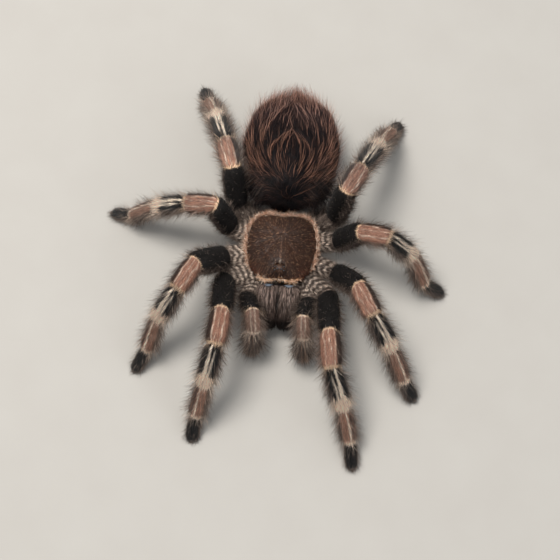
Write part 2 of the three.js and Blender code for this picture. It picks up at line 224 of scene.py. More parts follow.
def jaw_finish():
    """The jaw's own shell, smooth and shining where its base is bare, where its colour also carries a
    painted bluish-white highlight.
    """
    finish = Finish("jaw_shell", {"Specular IOR Level": 0.7})
    bare_glint = finish.mark("bare_glint")
    grain = finish.noise(1600.0, 3.0)
    # Painted highlight: the bare base's colour is lifted to pale blue-grey for the light it reflects; its
    # lower roughness is real gloss.
    finish.feed("Base Color", finish.blend(tone("1d1512"), tone("93a0b0"), bare_glint))
    finish.feed("Roughness", 0.6 - 0.36 * bare_glint)
    finish.bump(grain, 0.3, 0.06 * MM)
    return finish.material


# ---- mesh helpers


def unit(vectors):
    length = np.linalg.norm(vectors, axis=-1, keepdims=True)
    return vectors / np.maximum(length, 1e-12)


def smoothstep(low, high, value):
    share = np.clip((value - low) / (high - low), 0, 1)
    return share * share * (3 - 2 * share)


def drift(points, wavelength, seed):
    """Smooth random values, mostly between -1 and 1, that change over about a wavelength."""
    dice = np.random.default_rng(seed)
    waves = unit(dice.normal(size=(9, 3))) * dice.uniform(0.6, 1.5, size=(9, 1))
    phases = dice.uniform(0, 2 * math.pi, 9)
    return np.sin(points @ waves.T * (2 * math.pi / wavelength) + phases).mean(1) * 2.4


def triples(items, field, kind=float):
    """A field that has three numbers for each of a mesh's items, as rows."""
    values = np.empty(len(items) * 3, kind)
    items.foreach_get(field, values)
    return values.reshape(-1, 3)


def positions(mesh):
    return triples(mesh.vertices, "co")


def normals_of(mesh):
    return triples(mesh.vertices, "normal")


def corners(node):
    """The corner points of a CAD node, each once."""
    return np.unique(positions(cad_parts[node].data).round(7), axis=0)


def box(node):
    low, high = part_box(node)
    return np.array(low), np.array(high)


def middle_of(node):
    low, high = box(node)
    return (low + high) / 2


def mesh_from_arrays(name, points, triangles):
    """A mesh straight from an array of points and one of triangles."""
    mesh = bpy.data.meshes.new(name)
    mesh.vertices.add(len(points))
    mesh.vertices.foreach_set("co", points.astype(np.float32).ravel())
    mesh.loops.add(triangles.size)
    mesh.loops.foreach_set("vertex_index", triangles.astype(np.int32).ravel())
    mesh.polygons.add(len(triangles))
    mesh.polygons.foreach_set("loop_start", np.arange(0, triangles.size, 3, dtype=np.int32))
    mesh.update(calc_edges=True)
    mesh.shade_smooth()
    return mesh


def link(name, data):
    """A new object in the scene."""
    made = bpy.data.objects.new(name, data)
    bpy.context.scene.collection.objects.link(made)
    return made


def put(name, mesh, material, slot, *nodes):
    """Places a mesh in the scene as a piece that rides on the body and stands for CAD nodes."""
    piece = link(name, mesh)
    mesh.materials.clear()
    mesh.materials.append(material)
    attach(piece, "root")
    if nodes:
        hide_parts(*nodes)
    return piece


def write_floats(mesh, name, values):
    mesh.attributes.new(name, "FLOAT", "POINT").data.foreach_set("value", values.astype(np.float32))


def write_colours(mesh, name, colours):
    padded = np.ones((len(colours), 4), np.float32)
    padded[:, :3] = colours
    mesh.color_attributes.new(name, "FLOAT_COLOR", "POINT").data.foreach_set("color", padded.ravel())


class Form:
    """Closed shapes gathered into one set of points and faces."""

    def __init__(self):
        self.points = []
        self.faces = []

    def add_tube(self, rings):
        """A tube through rings with equal numbers of points, closed at both ends."""
        sides = len(rings[0])
        first = len(self.points)
        last = first + (len(rings) - 1) * sides
        self.points.extend(map(tuple, np.concatenate(rings)))
        for start in range(first, last, sides):
            for side in range(sides):
                a, b = start + side, start + (side + 1) % sides
                self.faces.append([a, b, b + sides, a + sides])
        self.faces.append(list(range(first, first + sides))[::-1])
        self.faces.append(list(range(last, last + sides)))

    def add_ball(self, centre, half_sizes, around=32, along=20, shape=None):
        """A ball whose poles lie on Y, with its points moved by shape(points) before it is placed."""
        turn = np.linspace(0, 2 * math.pi, around, endpoint=False)
        rings = []
        for step in np.linspace(0.02, math.pi - 0.02, along):
            y = np.full(around, -math.cos(step))
            ring = np.stack([np.cos(turn) * math.sin(step), y, -np.sin(turn) * math.sin(step)], 1)
            ring = shape(ring) if shape else ring
            rings.append(centre + ring * half_sizes)
        self.add_tube(rings)

    def mesh(self, name):
        made = bpy.data.meshes.new(name)
        made.from_pydata(self.points, [], self.faces)
        made.update()
        return made


def softened(mesh, name, voxel, rounds):
    """The mesh remade as one closed skin of even faces, and smoothed."""
    carrier = link(name, mesh)
    remesh = carrier.modifiers.new("REMESH", "REMESH")
    remesh.mode = "VOXEL"
    remesh.voxel_size = voxel
    smooth = carrier.modifiers.new("SMOOTH", "SMOOTH")
    smooth.factor = 0.5
    smooth.iterations = rounds
    bpy.context.view_layer.update()
    evaluated = carrier.evaluated_get(bpy.context.evaluated_depsgraph_get())
    made = bpy.data.meshes.new_from_object(evaluated)
    made.name = name
    bpy.data.objects.remove(carrier)
    made.shade_smooth()
    return made


def move_points(mesh, points):
    mesh.vertices.foreach_set("co", points.astype(np.float32).ravel())
    mesh.update()


def softened_copy(node, name, voxel, rounds, inset=0.0):
    """A CAD node as a smooth form of its own, drawn in along its normals by the coat's depth."""
    made = softened(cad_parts[node].data.copy(), name, voxel, rounds)
    move_points(made, positions(made) - normals_of(made) * inset)
    return made


# ---- limbs read from the frame

SIDES = {"right": -1, "left": 1}
LEG_SEGMENTS = ("coxa", "femur", "patella", "tibia", "metatarsus", "tarsus")
PALP_SEGMENTS = ("coxa", "femur", "patella", "tibia", "tarsus")
HIP_PLACES = (0.22, 0.42, 0.66, 0.83)  # along the carapace, from its front
PALP_HIP_PLACE = 0.19
HIP_SPACING = 0.25  # of the carapace's width
HIP_HEIGHT = 7.3 * MM
PALP_HIP_HEIGHT = 5.6 * MM
JOINT_REACH = 0.6 * MM  # neighbouring nodes' corners are closer than this at a joint

# How deep the short coat stands over the skin.
COAT_DEPTH = {
    "coxa": 0.7 * MM,
    "femur": 0.35 * MM,
    "patella": 0.35 * MM,
    "tibia": 0.75 * MM,
    "metatarsus": 0.65 * MM,
    "tarsus": 0.4 * MM,
}

carapace_low, carapace_high = box("carapace")
carapace_middle = (carapace_low + carapace_high) / 2
carapace_size = carapace_high - carapace_low


def meeting_point(near, far):
    """The middle of the gap between two neighbouring CAD nodes."""
    near_points, far_points = corners(near), corners(far)
    gaps = np.linalg.norm(near_points[:, None] - far_points[None], axis=2)
    touching = [near_points[gaps.min(1) < JOINT_REACH], far_points[gaps.min(0) < JOINT_REACH]]
    return (touching[0].mean(0) + touching[1].mean(0)) / 2


def foot_tip(node, ankle):
    points = corners(node)
    direction = unit(points.mean(0) - ankle)
    return ankle + direction * ((points - ankle) @ direction).max()


def hip_point(side, place, height):
    x = carapace_middle[0] + side * HIP_SPACING * carapace_size[0]
    return np.array([x, carapace_low[1] + place * carapace_size[1], height])


class Segment:
    """One length of a limb: its ends, its own axes, and the half sizes of its coat's outline."""

    def __init__(self, limb, name, start, end):
        self.limb = limb
        self.name = name
        self.start = start
        self.end = end
        self.length = np.linalg.norm(end - start)
        self.direction = unit(end - start)
        # Towards the animal's rear, whichever side the limb is on.
        self.rearward = unit(np.cross(SKYWARD, self.direction)) * limb.side
        self.up = np.cross(self.direction, self.rearward) * limb.side

    def take_sizes(self, width, rise, fall):
        self.width, self.rise, self.fall = width, rise, fall
        self.radius = (2 * width + rise + fall) / 4

    def measured(self):
        offsets = corners(f"{self.limb.name}_{self.name}") - (self.start + self.end) / 2
        upward = offsets @ self.up
        return np.abs(offsets @ self.rearward).max(), upward.max(), -upward.min()


class Limb:
    """A leg or palp, from its hip to its foot."""

    def __init__(self, side_name, kind, place):
        self.side = SIDES[side_name]
        self.name = f"{side_name}_{kind}"
        self.is_palp = kind == "palp"
        names = PALP_SEGMENTS if self.is_palp else LEG_SEGMENTS
        nodes = ["cephalothorax_underside"] + [f"{self.name}_{name}" for name in names[1:]]
        height = PALP_HIP_HEIGHT if self.is_palp else HIP_HEIGHT
        joints = [hip_point(self.side, place, height)]
        joints += [meeting_point(near, far) for near, far in zip(nodes, nodes[1:])]
        joints.append(foot_tip(nodes[-1], joints[-1]))
        self.nodes = nodes[1:]
        ends = zip(names, joints, joints[1:])
        self.segments = [Segment(self, name, start, end) for name, start, end in ends]
        self.length = sum(segment.length for segment in self.segments)
        coxa, femur = self.segments[:2]
        for segment in self.segments[1:]:
            segment.take_sizes(*segment.measured())
        coxa.take_sizes(femur.width, femur.rise, femur.fall)


def all_limbs():
    limbs = []
    for side_name in SIDES:
        for pair, place in enumerate(HIP_PLACES, 1):
            limbs.append(Limb(side_name, f"leg_{pair}", place))
        limbs.append(Limb(side_name, "palp", PALP_HIP_PLACE))
    return limbs


limbs = all_limbs()
segments = [segment for limb in limbs for segment in limb.segments]
coat_scale = {limb.name: 0.75 if limb.is_palp else 1.0 for limb in limbs}


# ---- body sizes

ABDOMEN_SLENDERNESS = 1.207  # the abdomen's length over its width
ABDOMEN_COAT = np.array([1.5, 1.7, 1.9]) * MM
ABDOMEN_FORWARD = 0.8 * MM  # the coat is this much thinner in front and deeper behind
abdomen_low, abdomen_high = box("abdomen")
abdomen_half = (abdomen_high - abdomen_low) / 2
abdomen_half[1] = abdomen_half[0] * ABDOMEN_SLENDERNESS
abdomen_middle = (abdomen_low + abdomen_high) / 2
abdomen_middle[1] = abdomen_high[1] - abdomen_half[1]

TRUNK_SHARE = np.array([0.76, 0.86])  # of the carapace's width and length
trunk_middle = np.array([carapace_middle[0], carapace_middle[1] + 0.1 * MM, 8.4 * MM])
trunk_half = np.array([*(TRUNK_SHARE * carapace_size[:2] / 2), 3.6 * MM])
MAXILLA_HALF = np.array([2.3, 4.6, 1.6]) * MM
MAXILLA_PLACE = np.array([4.4, 0.0, 4.9]) * MM
STALK_RADIUS = 2.0 * MM


# ---- skin

SECTION_SIDES = 24
SECTION_PLACES = (0, 0.04, 0.09, 0.16, 0.28, 0.42, 0.58, 0.72, 0.84, 0.91, 0.96, 1)
FOOT_PLACES = (0, 0.05, 0.12, 0.25, 0.45, 0.65, 0.8, 0.9, 0.96, 0.99)
MITRE_REACH = 0.35  # share of a segment over which its sections turn from the joint's plane
NECK = 0.24  # how far the skin draws in at a joint
NECK_LENGTH = 0.07
VOXEL = 0.475 * MM
SMOOTHING_ROUNDS = 4


def section_swell(segment, place):
    """The skin's size along a segment against its middle: drawn in at the joints, rounded at the foot."""
    is_foot = segment.name == "tarsus"
    near = NECK * math.exp(-((place / NECK_LENGTH) ** 2))
    far = 0 if is_foot else NECK * math.exp(-(((1 - place) / NECK_LENGTH) ** 2))
    belly = 1 - 0.1 * abs(2 * place - 1) ** 1.8
    tip = math.sqrt(max(0.0, 1 - max(0.0, (place - 0.72) / 0.28) ** 2)) if is_foot else 1
    return (belly - near - far) * max(tip, 0.12)


def section_plane(segment, place, before, after):
    near_plane = unit(before.direction + segment.direction) if before else segment.direction
    far_plane = unit(segment.direction + after.direction) if after else segment.direction
    near_turn = max(0.0, 1 - place / MITRE_REACH)
    far_turn = max(0.0, 1 - (1 - place) / MITRE_REACH)
    straight = segment.direction * (1 - near_turn - far_turn)
    return unit(straight + near_plane * near_turn + far_plane * far_turn)


def limb_section(segment, place, before, after):
    plane = section_plane(segment, place, before, after)
    coat = COAT_DEPTH[segment.name] * coat_scale[segment.limb.name]
    swell = section_swell(segment, place)
    turn = np.linspace(0, 2 * math.pi, SECTION_SIDES, endpoint=False)
    side = segment.rearward * segment.limb.side
    height = np.where(np.sin(turn) > 0, segment.rise - coat, segment.fall - coat)
    offsets = np.outer(np.cos(turn) * (segment.width - coat), side)
    offsets = (offsets + np.outer(np.sin(turn) * height, segment.up)) * swell
    slide = -(offsets @ plane) / (segment.direction @ plane)
    centre = segment.start + (segment.end - segment.start) * place
    return centre + offsets + np.outer(slide, segment.direction)


def add_limb_skin(form, limb):
    rings = []
    for number, segment in enumerate(limb.segments):
        before = limb.segments[number - 1] if number else None
        after = limb.segments[number + 1] if number + 1 < len(limb.segments) else None
        places = SECTION_PLACES[:-1] if after else FOOT_PLACES
        rings += [limb_section(segment, place, before, after) for place in places]
    form.add_tube([ring[::-1] for ring in rings])


def tube_rings(spine, radii, sides=16, hint=(0.31, 0.17, 0.93)):
    """Round sections along a spine of points, each turned by a hint that no part of the spine follows."""
    spine = np.asarray(spine, float)
    heading = unit(np.gradient(spine, axis=0))
    across = unit(np.cross(heading, hint))
    turn = np.linspace(0, 2 * math.pi, sides, endpoint=False)
    rings = []
    for centre, way, side, radius in zip(spine, heading, across, radii):
        other = np.cross(way, side)
        rings.append(centre + radius * (np.outer(np.cos(turn), side) + np.outer(np.sin(turn), other)))
    return rings


def fuller(points):
    """Flattens a ball a little below its waist, as a heavy belly is, and fills out both its ends."""
    x, y, z = points.T
    wider = 1 + 0.12 * smoothstep(-0.3, -0.85, y) + 0.12 * smoothstep(0.35, 0.85, y)
    return np.stack([x * wider, y, np.where(z < 0, 0.96, 1) * z], 1)


def add_body_skin(form):
    form.add_ball(trunk_middle, trunk_half)
    middle, half_sizes = abdomen_middle - (0, ABDOMEN_FORWARD, 0), abdomen_half - ABDOMEN_COAT
    form.add_ball(middle, half_sizes, around=48, along=32, shape=fuller)
    trunk_end = trunk_middle[1] + trunk_half[1] * 0.7
    abdomen_start = abdomen_middle[1] - abdomen_half[1] * 0.6
    stalk = [(carapace_middle[0], y, 8.8 * MM) for y in np.linspace(trunk_end, abdomen_start, 6)]
    form.add_tube(tube_rings(stalk, [STALK_RADIUS] * 6))
    for side in SIDES.values():
        place = np.array([carapace_middle[0], carapace_low[1] + 0.14 * carapace_size[1], 0])
        form.add_ball(place + MAXILLA_PLACE * (side, 1, 1), MAXILLA_HALF)
    lip = [carapace_middle[0], carapace_low[1] + 0.2 * carapace_size[1], 4.5 * MM]
    form.add_ball(np.array(lip), np.array([1.9, 2.0, 1.1]) * MM)


def spinneret_spine(side_name):
    """From inside the abdomen to the tip of a spinneret, bowed up a little."""
    low, high = box(f"{side_name}_spinneret")
    side = SIDES[side_name]
    near_x, far_x = (low[0], high[0]) if side > 0 else (high[0], low[0])
    share = np.linspace(-0.35, 0.97, 12)
    x = near_x + side * 1.1 * MM + (far_x - near_x - side * 1.7 * MM) * share
    y = low[1] + (high[1] - low[1]) * share
    z = low[2] + 0.9 * MM + (high[2] - low[2] - 1.6 * MM) * share ** 2 * np.sign(share)
    return np.stack([x, y, z], 1), share


def add_spinneret_skin(form, side_name):
    spine, share = spinneret_spine(side_name)
    knuckles = 1 - 0.25 * bell((share - 0.38) / 0.05) - 0.25 * bell((share - 0.7) / 0.05)
    radii = 0.9 * MM * knuckles * np.sqrt(np.clip(1.05 - np.clip(share, 0, 1) ** 3, 0.05, 1))
    form.add_tube(tube_rings(spine, radii))


def skin_mesh():
    form = Form()
    for limb in limbs:
        add_limb_skin(form, limb)
    add_body_skin(form)
    for side_name in SIDES:
        add_spinneret_skin(form, side_name)
    return softened(form.mesh("skin_form"), "skin", VOXEL, SMOOTHING_ROUNDS)


# ---- places on the skin

ABDOMEN, TRUNK, SPINNERET = -1, -2, -3
BATCH = 20000  # points handled at a time, to keep the arrays small
SPINNERET_REACH = 9 * MM  # no spinneret is further ahead of the abdomen's end than this
SPINNERET_GIRTH = 1.5 * MM
FAR_AWAY = 9


def joint_planes():
    """For each limb segment, the planes that part it from its neighbours at either end."""
    near, far = [], []
    for limb in limbs:
        directions = [segment.direction for segment in limb.segments]
        joined = [unit(one + next_one) for one, next_one in zip(directions, directions[1:])]
        near += [directions[0]] + joined
        far += joined + [directions[-1]]
    return np.array(near), np.array(far)


def every(attribute):
    return np.array([getattr(segment, attribute) for segment in segments])


STARTS, ENDS, DIRECTIONS = every("start"), every("end"), every("direction")
LENGTHS, RADII = every("length"), every("radius")
REARWARD, UPWARD = every("rearward"), every("up")
NEAR_PLANES, FAR_PLANES = joint_planes()
IS_FIRST = np.array([segment is segment.limb.segments[0] for segment in segments])
IS_LAST = np.array([segment is segment.limb.segments[-1] for segment in segments])


def spinneret_distance(points):
    spines = np.concatenate([spinneret_spine(side_name)[0] for side_name in SIDES])
    gaps = np.linalg.norm(points[:, None] - spines[None], axis=2).min(1)
    return np.where(points[:, 1] > abdomen_high[1] - SPINNERET_REACH, gaps / SPINNERET_GIRTH, FAR_AWAY)


def nearest_parts(points):
    """For each point, the number of the limb segment it belongs to, or ABDOMEN, TRUNK or SPINNERET."""
    found = np.empty(len(points), int)
    for first in range(0, len(points), BATCH):
        batch = points[first : first + BATCH]
        offsets = batch[:, None] - STARTS[None]
        along = np.clip(np.einsum("psk,sk->ps", offsets, DIRECTIONS), 0, LENGTHS)
        away = np.linalg.norm(offsets - along[..., None] * DIRECTIONS[None], axis=2) / RADII
        abdomen = np.linalg.norm((batch - abdomen_middle) / abdomen_half, axis=1)
        trunk = np.linalg.norm((batch - trunk_middle) / trunk_half, axis=1) * 0.9
        spinner = spinneret_distance(batch)
        best = away.argmin(1)
        least = away.min(1)
        for value, part in ((abdomen, ABDOMEN), (trunk, TRUNK), (spinner, SPINNERET)):
            best = np.where(value < least, part, best)
            least = np.minimum(value, least)
        found[first : first + BATCH] = best
    return found


def dot(first, second):
    return (first * second).sum(1)


class LimbSpots:
    """Where points lie on their own limb segments: share along, and turn around from the top, which
    is positive towards the animal's rear."""

    def __init__(self, points, part):
        before = (dot(points - STARTS[part], NEAR_PLANES[part]) < 0) & ~IS_FIRST[part]
        beyond = (dot(points - ENDS[part], FAR_PLANES[part]) > 0) & ~IS_LAST[part]
        part = part - before + (beyond & ~before)
        direction = DIRECTIONS[part]
        near = dot(points - STARTS[part], NEAR_PLANES[part]) / dot(direction, NEAR_PLANES[part])
        far = dot(ENDS[part] - points, FAR_PLANES[part]) / dot(direction, FAR_PLANES[part])
        near, far = np.maximum(near, 0), np.maximum(far, 0)
        offsets = points - STARTS[part]
        self.points = points
        self.part = part
        self.share = near / np.maximum(near + far, 1e-9)
        self.turn = np.arctan2(dot(offsets, REARWARD[part]), dot(offsets, UPWARD[part]))
        self.direction = direction
        self.length = LENGTHS[part]
        self.radius = RADII[part]

    def kept(self, chosen):
        some = object.__new__(LimbSpots)
        some.__dict__ = {name: values[chosen] for name, values in vars(self).items()}
        return some

    def streaks(self, width, length, seed):
        """Smooth random values in streaks that run along the limb."""
        arc = self.turn * self.radius / width
        flat = np.column_stack([arc, self.share * self.length / length, self.part * 7.3])
        return drift(flat, 1.0, seed)


# ---- markings


def over(base, paint, share):
    """One colour laid over another by a share. Each may be one for all points or one for each point."""
    share = np.asarray(share)[..., None]
    return base * (1 - share) + paint * share


def painted(base, *layers):
    """A colour with others laid over it in turn, each given with its share."""
    for paint, share in layers:
        base = over(base, paint, share)
    return base


def bell(*ratios):
    """1 where every ratio is 0, and nearly 0 where one is beyond about 2."""
    return np.exp(-sum(ratio ** 2 for ratio in ratios))


def stripe(across, middle, half_width, soft=0.05):
    gap = np.abs(across - middle) - half_width
    return 1 - smoothstep(-soft, soft, gap)


def femur_marking(spots, share, across, above):
    """Black velvet, greyer on the flanks, between a pale ring of hair at the hip and one at the knee."""
    return painted(
        VELVET_BLACK,
        (SOOT, 0.35 + 0.3 * spots.streaks(0.6 * MM, 4 * MM, 3)),
        (ASH, (1 - smoothstep(-0.1, 0.45, above)) * 0.4),
        (PALE_ASH, 1 - smoothstep(0.03, 0.09, share)),
        (KNEE_GOLD, smoothstep(0.978, 0.992, share)),
    )


# For each cream line on a patella: where across it starts, its slant, its half width, its sway's seed.
PATELLA_LINES = ((-0.64, 0.08, 0.05, 9), (-0.16, 0.24, 0.025, 10), (0.44, -0.04, 0.05, 11))


def patella_marking(spots, share, across, above):
    """Peach above in brown streaks, split by thin cream lines, with a dark rear flank."""
    top = smoothstep(0.1, 0.45, above)
    colour = painted(
        ASH,
        (ROSE_BROWN, smoothstep(-0.1, 0.4, above) * 0.6),
        (PEACH, top),
        (tone("84594a"), top * np.clip(0.3 + 0.5 * spots.streaks(0.45 * MM, 6 * MM, 4), 0, 0.8)),
        (SOOT, smoothstep(0.48, 0.6, across) * smoothstep(-0.3, 0.1, above) * 0.9),
    )
    broken = np.clip(0.6 + 0.5 * spots.streaks(0.8 * MM, 4 * MM, 17), 0, 1)
    for start, slant, half_width, seed in PATELLA_LINES:
        sway = 0.1 * spots.streaks(3 * MM, 5 * MM, seed)
        line = stripe(across, start + slant * share + sway, half_width, 0.06)
        colour = over(colour, CREAM, line * broken * smoothstep(0.1, 0.3, above) * 0.75)
    ends = np.maximum(1 - smoothstep(0.01, 0.035, share), smoothstep(0.93, 0.965, share))
    return over(colour, KNEE_GOLD, ends * smoothstep(-0.6, 0.0, above))


def tibia_marking(spots, share, across, above):
    """Black with a bold cream stripe and a thinner one, both running into a broad cream band."""
    top = smoothstep(0.1, 0.35, above)
    bold = stripe(across, 0.14 - 0.02 * share, 0.13 + 0.17 * share, 0.05)
    thin = stripe(across, -0.42 + 0.12 * share, 0.05 + 0.14 * share, 0.05) * smoothstep(0.1, 0.28, share)
    edge = 0.68 + 0.07 * np.abs(across) + 0.05 * spots.streaks(0.7 * MM, 9 * MM, 5)
    return painted(
        VELVET_BLACK,
        (ASH, (1 - smoothstep(0.1, 0.6, above)) * 0.75),
        (CREAM, np.maximum(bold, thin * 0.9) * top * smoothstep(0.02, 0.06, share)),
        (IVORY, smoothstep(edge - 0.04, edge + 0.04, share) * smoothstep(-0.7, 0.1, above)),
    )


def metatarsus_marking(spots, share, across, above):
    """Peach above with one cream stripe, a dark line to its rear, ash flanks and a pale far rim."""
    top = smoothstep(0.1, 0.35, above)
    return painted(
        ASH,
        (PEACH, smoothstep(0.2, 0.7, above)),
        (SOOT, stripe(across, 0.66, 0.14, 0.1) * top * 0.8),
        (CREAM, stripe(across, 0.2 - 0.05 * share, 0.13, 0.07) * top),
        (IVORY, smoothstep(0.88, 0.95, share) * smoothstep(-0.4, 0.2, above)),
    )


def tarsus_marking(spots, share, across, above):
    """Dark grey, blackest along the top, with a pale tip over the claws."""
    return painted(
        ASH,
        (SOOT, smoothstep(-0.2, 0.5, above)),
        (VELVET_BLACK, stripe(across, 0, 0.42, 0.12) * smoothstep(0.3, 0.6, above)),
        (PALE_ASH, smoothstep(0.92, 0.98, share) * smoothstep(0.0, 0.4, above) * 0.7),
    )


COXA_RINGS = 5.5  # rings of pale hair from one end of a coxa to the other


def coxa_marking(spots, share, across, above):
    """Dark, with thin broken rings of pale hair, one behind the other, towards the thigh."""
    wander = 0.05 * spots.streaks(3.5 * MM, 20 * MM, 6)
    rings = 0.5 + 0.5 * np.cos((share + wander) * 2 * math.pi * COXA_RINGS)
    broken = 0.6 + 0.6 * spots.streaks(0.5 * MM, 2 * MM, 10)
    pale = smoothstep(0.42, 0.9, rings) * smoothstep(0.2, 0.4, share) * np.clip(broken, 0, 1)
    return painted(SOOT, (ASH, 0.5), (tone("f6dfcb"), pale), (ASH, (1 - smoothstep(-0.4, 0.1, above)) * 0.7))


def palp_patella_marking(spots, share, across, above):
    """Grey-brown with two cream stripes, between ivory ends."""
    pale = np.maximum(stripe(across, 0.24, 0.04, 0.07), stripe(across, -0.28, 0.04, 0.07))
    ends = np.maximum(1 - smoothstep(0.05, 0.1, share), smoothstep(0.9, 0.95, share) * 0.8)
    return painted(
        ASH,
        (tone("8d6f60"), smoothstep(0.2, 0.7, above)),
        (CREAM, pale * smoothstep(0.3, 0.6, above) * 0.65),
        (IVORY, ends * smoothstep(-0.4, 0.2, above)),
    )


def palp_tibia_marking(spots, share, across, above):
    """Ash grey with two faint tan stripes."""
    pale = np.maximum(stripe(across, 0.2, 0.08), stripe(across, -0.3, 0.06))
    return painted(
        ASH,
        (SOOT, smoothstep(0.3, 0.8, above) * 0.4),
        (TAN, pale * smoothstep(0.1, 0.4, above) * 0.35),
    )


def palp_tarsus_marking(spots, share, across, above):
    pale = 0.3 + 0.25 * spots.streaks(0.8 * MM, 4 * MM, 8)
    return painted(ASH, (SOOT, smoothstep(0.2, 0.8, above) * 0.6), (PALE_ASH, pale))


LEG_MARKINGS = {
    "coxa": coxa_marking,
    "femur": femur_marking,
    "patella": patella_marking,
    "tibia": tibia_marking,
    "metatarsus": metatarsus_marking,
    "tarsus": tarsus_marking,
}
PALP_MARKINGS = {
    **LEG_MARKINGS,
    "patella": palp_patella_marking,
    "tibia": palp_tibia_marking,
    "tarsus": palp_tarsus_marking,
}


def limb_markings(spots, ahead=0.0):
    """The limbs' colours at the spots, or a little way ahead of them along the limb."""
    colours = np.empty((len(spots.points), 3))
    for number, segment in enumerate(segments):
        here = spots.part == number
        if not here.any():
            continue
        own = spots.kept(here)
        share = np.minimum(own.share + np.broadcast_to(ahead, len(here))[here] / own.length, 1)
        marking = (PALP_MARKINGS if segment.limb.is_palp else LEG_MARKINGS)[segment.name]
        colours[here] = marking(own, share, np.sin(own.turn), np.cos(own.turn))
    return colours


def abdomen_places(points):
    """Places on the abdomen in its own half sizes: across, along to the rear, and up."""
    return (points - abdomen_middle) / abdomen_half


def abdomen_marking(points):
    """Plum black, browner towards the rear, with paler lung covers below."""
    across, along, up = abdomen_places(points).T
    colour = over(PLUM_BLACK, tone("4e3b3a"), smoothstep(-0.2, 0.8, along))
    lungs = bell((np.abs(across) - 0.4) / 0.2, (np.abs(along + 0.5) - 0.15) / 0.1)
    return over(colour, TAN, lungs * (up < -0.3) * 0.7)


def skin_markings(points):
    part = nearest_parts(points)
    colours = np.tile(SOOT, (len(points), 1))
    colours[part == ABDOMEN] = abdomen_marking(points[part == ABDOMEN])
    on_limb = part >= 0
    colours[on_limb] = limb_markings(LimbSpots(points[on_limb], part[on_limb]))
    return colours


# ---- hair


class Surface:
    """The triangles of a mesh, from which hair grows."""

    def __init__(self, mesh):
        mesh.calc_loop_triangles()
        self.triangles = triples(mesh.loop_triangles, "vertices", np.int32)
        self.points = positions(mesh)
        self.normals = normals_of(mesh)
        a, b, c = (self.points[self.triangles[:, i]] for i in range(3))
        across = np.cross(b - a, c - a)
        self.middles = (a + b + c) / 3
        self.facing = unit(across)
        self.areas = np.linalg.norm(across, axis=1) / 2


def flattened(vectors, normals):
    """Vectors laid into the surface."""
    return unit(vectors - normals * dot(vectors, normals)[:, None])


SINK = 0.12 * MM  # how deep a hair's root is set
FLOOR_GAP = 0.04 * MM  # how far above the floor every hair stays
UV_PATCH = 0.003  # a hair's size on its coat's unwrap

# Hairs per square millimetre where each coat is fullest, apart from the limbs'.
HIP_DENSITY = 9.0
UNDERSIDE_DENSITY = 6.0
SPINNERET_DENSITY = 14.0
UNDERCOAT_DENSITY = 12.5
VELVET_DENSITY = 46.0
FRINGE_DENSITY = 30.0
EYE_MOUND_DENSITY = 16.0
JAW_DENSITY = 17.0


def cut(length, width, lean, droop=0.2, sway=0.0, sections=1):
    """How a coat's hairs are made: their lean is from the surface, their droop is towards the tip."""
    return {"length": length, "width": width, "lean": lean, "droop": droop, "sway": sway,
            "sections": sections}


def spike_faces(sections):
    """The triangles of one three-sided hair, whose last point is its tip."""
    faces = []
    for base in range(0, (sections - 1) * 3, 3):
        for side in range(3):
            a, b = base + side, base + (side + 1) % 3
            faces += [(a, b, b + 3), (a, b + 3, a + 3)]
    last = (sections - 1) * 3
    return np.array(faces + [(last + side, last + (side + 1) % 3, last + 3) for side in range(3)])


